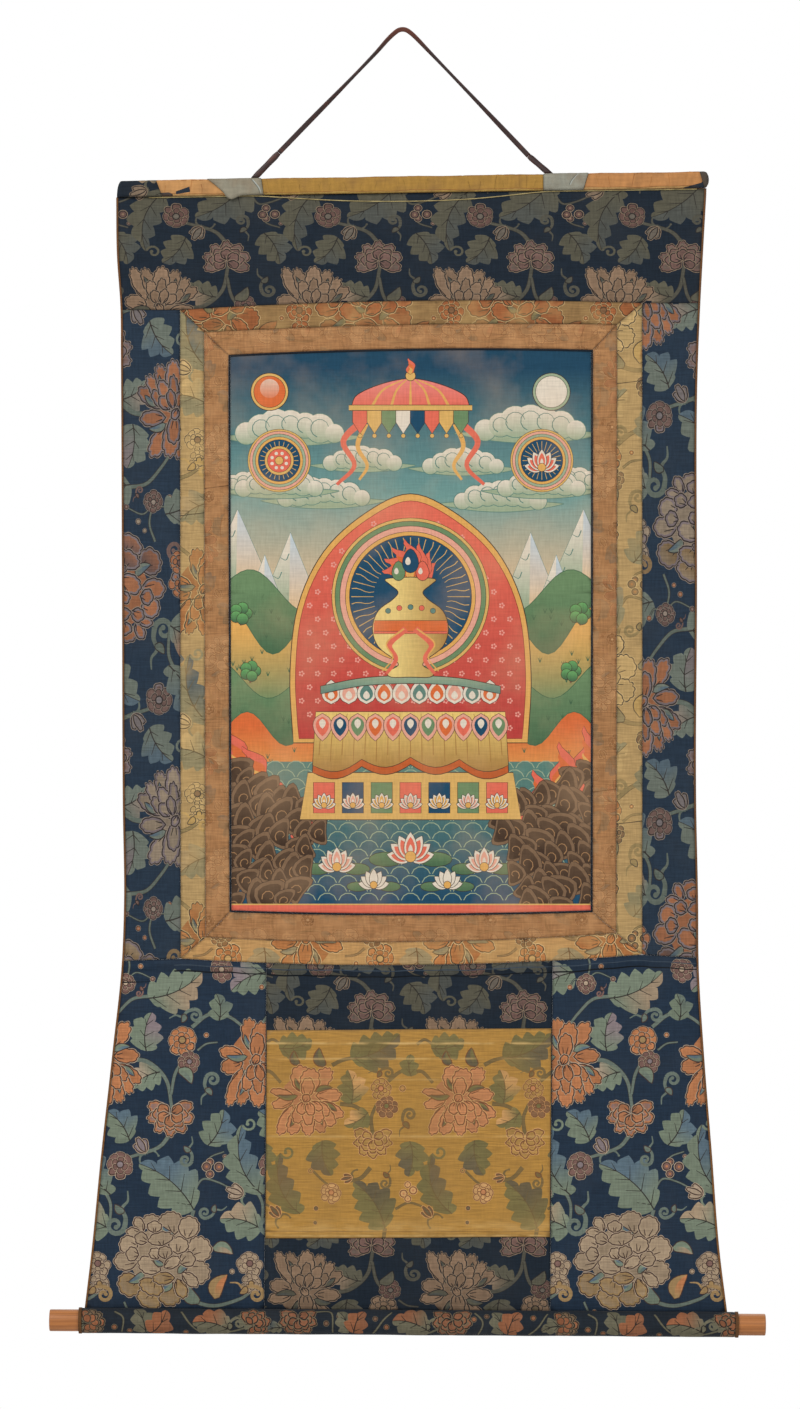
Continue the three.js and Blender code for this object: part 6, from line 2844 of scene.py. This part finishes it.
    def curl(self, at: complex, side: int, size: float, random: np.random.Generator) -> None:
        """Paint one curled rock: a dark comma with a paler edge and a spiral line.

        Args:
            at: its middle.
            side: -1 at the viewer's left, 1 at the right.
            size: its size.
            random: where its turn is drawn from.
        """
        p = self.paint
        turn = np.exp(1j * random.uniform(-0.7, 0.7))
        t = np.linspace(0, 2 * np.pi, 15)[:-1]
        across = np.cos(t) * 0.8 + 0.3 * np.cos(2 * t)
        comma = size * (across + 1j * (np.sin(t) + 0.35 * np.maximum(np.sin(t), 0) ** 2))
        placed = comma.real * side + 1j * comma.imag
        self.lay(at + turn * placed, p.bark, p.ink, 0.7)
        self.lay(at + turn * (placed * 0.78), self.run(p.peat, p.umber, at.imag - size, at.imag + size))
        spiral = 0.52 * size * np.linspace(1, 0.25, 9) * np.exp(1j * np.linspace(-0.8, 4.2, 9))
        self.lay(ribbon(at + turn * (spiral.real * side + 1j * spiral.imag), 1.3, 0.7), p.tan)

    def foot_band(self) -> None:
        """Paint the plain red band and gold line along the foot."""
        p = self.paint
        self.band(-2, 12.6, p.gold)
        self.band(-3, 11, p.coral)


@dataclass
class Painting:
    """The painted cotton with a design of emblems in a landscape, and the dark piping that edges it."""

    piping: float = 2.4
    piping_thickness: float = 2.2
    piping_front: str = "1e242c"
    piping_back: str = "1b2028"

    def edges(self) -> Patch:
        """Give the canvas's four edges inside the piping."""
        outer = PIPING_OUTER
        return Patch(lambda z: outer.left(z) + self.piping, lambda z: outer.right(z) - self.piping,
                     lambda x: outer.top(x) - self.piping, lambda x: outer.bottom(x) + self.piping)

    def build(self) -> None:
        """Make the canvas and its piping."""
        canvas = self.edges()
        design = PaintedDesign()
        sheet = sewn("painting_canvas", canvas, Fill(design.paint.haze), design.drawn(), RAW_COTTON,
                     thickness=CANVAS, edge_shade=0.8)
        made = sheet.build()
        settle(made, "painting", PAINTED_COTTON.material())
        outer = PIPING_OUTER
        strips = {
            "top": Patch(outer.left, outer.right, outer.top, canvas.top),
            "bottom": Patch(outer.left, outer.right, canvas.bottom, outer.bottom),
            "left": Patch(outer.left, canvas.left, canvas.top, canvas.bottom),
            "right": Patch(canvas.right, outer.right, canvas.top, canvas.bottom),
        }
        tape = COTTON_TAPE.material()
        for side, patch in strips.items():
            strip = sewn(f"piping_{side}_tape", patch, Fill(self.piping_front), Drawing(), self.piping_back,
                         thickness=self.piping_thickness, rings=(0.45, 0.9), roll=0.9, roll_width=0.7,
                         edge_shade=0.85)
            settle(strip.build(), f"piping_{side}", tape)


@dataclass
class Border:
    """Four mitred strips of silk round the painting."""

    name: str
    outer: Rect
    inner: Rect
    slot: str
    cloth: Cloth
    cuttings: dict[str, Cutting]
    joins: dict[str, tuple[float, ...]]

    def mitre(self, corner: str) -> tuple[Edge, Edge]:
        """Give the mitre line at a corner, as x at z and as z at x.

        Args:
            corner: the corner's name.

        Returns:
            The two edges.
        """
        start, end = getattr(self.outer, corner), getattr(self.inner, corner)
        slope = (end.real - start.real) / (end.imag - start.imag)
        return (lambda z: start.real + (z - start.imag) * slope,
                lambda x: start.imag + (x - start.real) / slope)

    def strips(self) -> dict[str, Patch]:
        """Give the four strips' edges."""
        names = ("top_left", "top_right", "bottom_left", "bottom_right")
        corners = {name: self.mitre(name) for name in names}
        return {
            "top": Patch(corners["top_left"][0], corners["top_right"][0], self.outer.top, self.inner.top),
            "bottom": Patch(corners["bottom_left"][0], corners["bottom_right"][0],
                            self.inner.bottom, self.outer.bottom),
            "left": Patch(self.outer.left, self.inner.left,
                          corners["top_left"][1], corners["bottom_left"][1]),
            "right": Patch(self.inner.right, self.outer.right,
                           corners["top_right"][1], corners["bottom_right"][1]),
        }

    def build(self, repeat: BrocadeRepeat) -> None:
        """Make the strips, with the joins where their cloth was pieced.

        Args:
            repeat: the navy brocade's repeat.
        """
        material = self.cloth.material()
        for side, patch in self.strips().items():
            cutting = self.cuttings[side]
            low, high = box_of(patch)
            drawing = cutting.drawn(repeat, low, high)
            for at in self.joins.get(side, ()):
                lies = side in ("top", "bottom")
                line = np.array([at + 1j * low.imag, at + 1j * high.imag]) if lies else \
                    np.array([low.real + 1j * at, high.real + 1j * (at + 4)])
                seam = ribbon(np.linspace(line[0], line[1], 8), 1.0, 1.0)
                drawing.add(seam, Fill(cutting.colours.line, shade=0.6))
            sheet = sewn(f"{self.name}_{side}_silk", patch, Fill(cutting.colours.ground), drawing,
                         cutting.colours.ground, edge_shade=0.5)
            made = sheet.build()
            settle(made, f"{self.name}_{side}", material)


@dataclass
class Mount:
    """The brocade mount: head, sides, three panels at the foot, the gold patch and the edge bindings."""

    binding: float = 2.6
    binding_thickness: float = 2.6
    centre_left: tuple[float, float] = (-170.0, -173.0)
    centre_right: tuple[float, float] = (187.5, 184.5)
    door_top: tuple[float, float] = (-1247.5, -1245.0)
    door_bottom: tuple[float, float] = (-1508.0, -1506.0)
    lower_peony: complex = -112 - 1572j
    door_inset: float = 1.0
    door_thickness: float = 1.2
    panel_back: str = "2b3440"
    door_hem: str = "8a652c"
    door_back: str = "a07a3c"
    # Colours of the painted highlight and painted shadows at the tuck and in a short crease
    tuck_ridge_painted_highlight: str = "3a4653"
    tuck_painted_shadow: str = "0f141a"
    short_crease_painted_shade: str = "11171e"
    binding_top: str = "7d5433"
    binding_foot: str = "8f6238"
    binding_back: str = "5f452c"

    def centre_line(self, ends: tuple[float, float]) -> Edge:
        """Give a seam of the middle foot panel, as x at z."""
        top, foot = GOLD_OUTER.bottom_left.imag, HANG.foot
        return lambda z: ends[0] + (ends[1] - ends[0]) * (z - top) / (foot - top)

    @staticmethod
    def head(x: np.ndarray) -> np.ndarray:
        """Give z where the cloth meets the stave."""
        return STAVE.middle(x) - STAVE.height / 2 - 0.05

    @staticmethod
    def foot(x: np.ndarray) -> np.ndarray:
        """Give z where the cloth lands on the roller's sleeve, behind its crown."""
        behind = HANG.foot_back - CLOTH / 2 - ROLLER.y
        return ROLLER.middle(x) + math.sqrt((ROLLER.sleeve_outer / 2) ** 2 - behind ** 2) + SEAT

    def bound_left(self, z: np.ndarray) -> np.ndarray:
        """Give x inside the left binding."""
        return HANG.left(z) + self.binding

    def bound_right(self, z: np.ndarray) -> np.ndarray:
        """Give x inside the right binding."""
        return HANG.right(z) - self.binding

    def panels(self) -> dict[str, tuple[Patch, Cutting]]:
        """Give each brocade panel's edges and how it is cut."""
        gold, seam = GOLD_OUTER, HANG.foot_seam
        left, right = self.centre_line(self.centre_left), self.centre_line(self.centre_right)
        return {
            "head_panel": (Patch(self.bound_left, self.bound_right, self.head, gold.top),
                           Cutting(NAVY_DIM, HEAD_PEONY, Lie.FLIPPED, squeeze=REVERSE_SQUEEZE)),
            "side_panel_left": (Patch(self.bound_left, gold.left, gold.top, seam),
                                Cutting(NAVY_SIDE, complex(-294, -474), Lie.TURNED, squeeze=SIDE_STRETCH,
                                        rewoven=((-1, CREAM, ORANGE), (-1, GOLD, MAUVE),
                                                 (-1, ORANGE, CREAM)))),
            "side_panel_right": (Patch(gold.right, self.bound_right, gold.top, seam),
                                 Cutting(NAVY_SIDE, complex(311, -841), squeeze=SIDE_STRETCH, rewoven=(
                                     (0, CREAM, ORANGE), (0, GOLD, MAUVE)))),
            "foot_panel_left": (Patch(self.bound_left, left, seam, self.foot),
                                Cutting(NAVY_BRIGHT, complex(-363, -1287.5))),
            "foot_panel_centre": (Patch(left, right, seam, self.foot),
                                  Cutting(NAVY_DIM, complex(-112, -1279), Lie.FLIPPED,
                                          squeeze=REVERSE_SQUEEZE)),
            "foot_panel_right": (Patch(right, self.bound_right, seam, self.foot),
                                 Cutting(NAVY_BRIGHT, complex(212, -1287.5))),
        }

    def build(self, repeat: BrocadeRepeat) -> None:
        """Make the panels, the patch and the bindings.

        Args:
            repeat: the navy brocade's repeat.
        """
        navy = NAVY_SILK.material()
        trims = self.bindings()
        for node, (patch, cutting) in self.panels().items():
            drawing = cutting.drawn(repeat, *box_of(patch))
            if node == "foot_panel_centre":
                drawing = self.around_door(repeat, cutting, *box_of(patch))
            if node.startswith("foot_panel"):
                self.tuck_line(drawing, *box_of(patch))
            sheet = sewn(f"{node}_brocade", patch, Fill(cutting.colours.ground), drawing, self.panel_back)
            made = sheet.build()
            settle(made, node, navy)
        self.door()

    def tuck_line(self, drawing: Drawing, low: complex, high: complex) -> None:
        """Paint shadow into the tuck under the painting, with a painted highlight on the ridge above it and
        painted shade in a short crease at the left.

        Args:
            drawing: the panel's drawing.
            low: the panel's lowest corner.
            high: the panel's highest corner.
        """
        x = np.linspace(max(low.real, -285), min(high.real, 372), 30)
        seam = HANG.foot_seam(x) + 0.5 * np.sin(x / 19.0) + 0.4 * np.sin(x / 7.3)
        # Painted highlight on the rolled ridge just under the seam
        drawing.add(ribbon(x + 1j * (seam - 7.0), 1.2, 1.0), Fill(self.tuck_ridge_painted_highlight))
        # Painted shadow in the tuck
        drawing.add(ribbon(x + 1j * (seam - 14.5), 2.0, 1.3), Fill(self.tuck_painted_shadow))
        # Painted shade in the short crease near the left edge
        short = np.linspace(-352, -315, 8)
        short_line = short + 1j * (-1188 + 0.03 * (short + 352))
        drawing.add(ribbon(short_line, 1.8, 0.7), Fill(self.short_crease_painted_shade))

    def around_door(self, repeat: BrocadeRepeat, above: Cutting, low: complex, high: complex) -> Drawing:
        """Draw the middle panel's brocade above and below the gold patch, which hides the rest.

        Args:
            repeat: the brocade's repeat.
            above: how the cloth above the patch is cut.
            low: the panel's lowest corner.
            high: the panel's highest corner.

        Returns:
            The drawing.
        """
        below = Cutting(above.colours, self.lower_peony, above.lie, squeeze=above.squeeze)
        drawing = above.drawn(repeat, complex(low.real, self.door_top[0] - 12), high)
        drawing.shapes += below.drawn(repeat, low, complex(high.real, self.door_bottom[0] + 12)).shapes
        return drawing

    def door(self) -> None:
        """Make the gold patch on the middle foot panel, in a closer repeat of its own."""
        left, right = self.centre_line(self.centre_left), self.centre_line(self.centre_right)
        ends = [self.centre_left[0], self.centre_right[0]]
        patch = Patch(lambda z: left(z) + self.door_inset, lambda z: right(z) - self.door_inset,
                      lambda x: np.interp(x, ends, self.door_top),
                      lambda x: np.interp(x, ends, self.door_bottom))
        cutting = Cutting(DOOR_GOLD, complex(-122, -1335))
        drawing = cutting.drawn(BrocadeRepeat(DOOR_STEMS, DOOR_SPROUTS, 300.0), *box_of(patch))
        low, high = box_of(patch)
        hem = np.linspace(low.real, high.real, 20) + 1j * (low.imag + 9)
        drawing.add(ribbon(hem, 0.9, 0.9), Fill(self.door_hem))
        sheet = sewn("door_patch_satin", patch, Fill(cutting.colours.ground), drawing, self.door_back,
                     thickness=self.door_thickness, lift=CLOTH / 2 + SEAT + self.door_thickness / 2)
        made = sheet.build()
        settle(made, "door_patch", DOOR_SATIN.material())

    def bindings(self) -> list[bpy.types.Object]:
        """Make the tape along both side edges."""
        tape = COTTON_TAPE.material()
        sides = {
            "left": Patch(HANG.left, self.bound_left, self.head, self.foot),
            "right": Patch(self.bound_right, HANG.right, self.head, self.foot),
        }
        made = []
        for side, patch in sides.items():
            ground = Fill(self.binding_top, self.binding_foot, 0 - 1100j, 0 - 1500j)
            sheet = sewn(f"binding_{side}_tape", patch, ground, Drawing(), self.binding_back,
                         thickness=self.binding_thickness, rings=(0.5, 1.0), roll=1.1, roll_width=0.8,
                         edge_shade=0.8)
            made.append(settle(sheet.build(), f"binding_{side}", tape))
        return made


def borders() -> tuple[Border, Border]:
    """Lay out the copper border and the gold border round it."""
    copper = {side: Cutting(BORDER_COPPER, place, lie, 0.6) for side, place, lie in (
        ("top", -200 - 470j, Lie.UPRIGHT), ("bottom", -150 - 1040j, Lie.TURNED),
        ("left", -252 - 640j, Lie.UPRIGHT), ("right", 272 - 700j, Lie.TURNED))}
    bloom = ((-1, CREAM, ORANGE), (0, CREAM, ORANGE), (0, GOLD, ROSE))
    gold = {side: Cutting(colours, place, lie, rewoven=changed) for side, colours, place, lie, changed in (
        ("top", HEAD_GOLD, -111 - 96j, Lie.UPRIGHT, bloom),
        ("bottom", FOOT_GOLD, 60 - 1130j, Lie.TURNED, ()),
        ("left", BORDER_GOLD, -238 - 700j, Lie.UPRIGHT, ()),
        ("right", BORDER_GOLD, 168 - 560j, Lie.UPRIGHT, ()))}
    inner = Border("copper_border", COPPER_OUTER, PIPING_OUTER, "copper_silk", COPPER_SILK, copper,
                   {"left": (-571.0,), "right": (-950.0,)})
    outer = Border("gold_border", GOLD_OUTER, COPPER_OUTER, "gold_brocade", GOLD_SILK, gold,
                   {"left": (-605.0, -711.0), "right": (-440.0, -990.0), "bottom": (152.0,)})
    return inner, outer


def main() -> None:
    """Build the scroll in the studio."""
    logging.basicConfig(level=logging.INFO, format="%(name)s: %(message)s")
    studio = Studio()
    studio.place_camera()
    Strap().build()
    TieString().build()
    repeat = BrocadeRepeat(NAVY_STEMS, NAVY_SPROUTS, 442.0)
    STAVE.build(repeat)
    ROLLER.build()
    Painting().build()
    for border in borders():
        border.build(repeat)
    Mount().build(repeat)
    studio.light()
    studio.lay_floor()


if __name__ == "__main__":
    main()
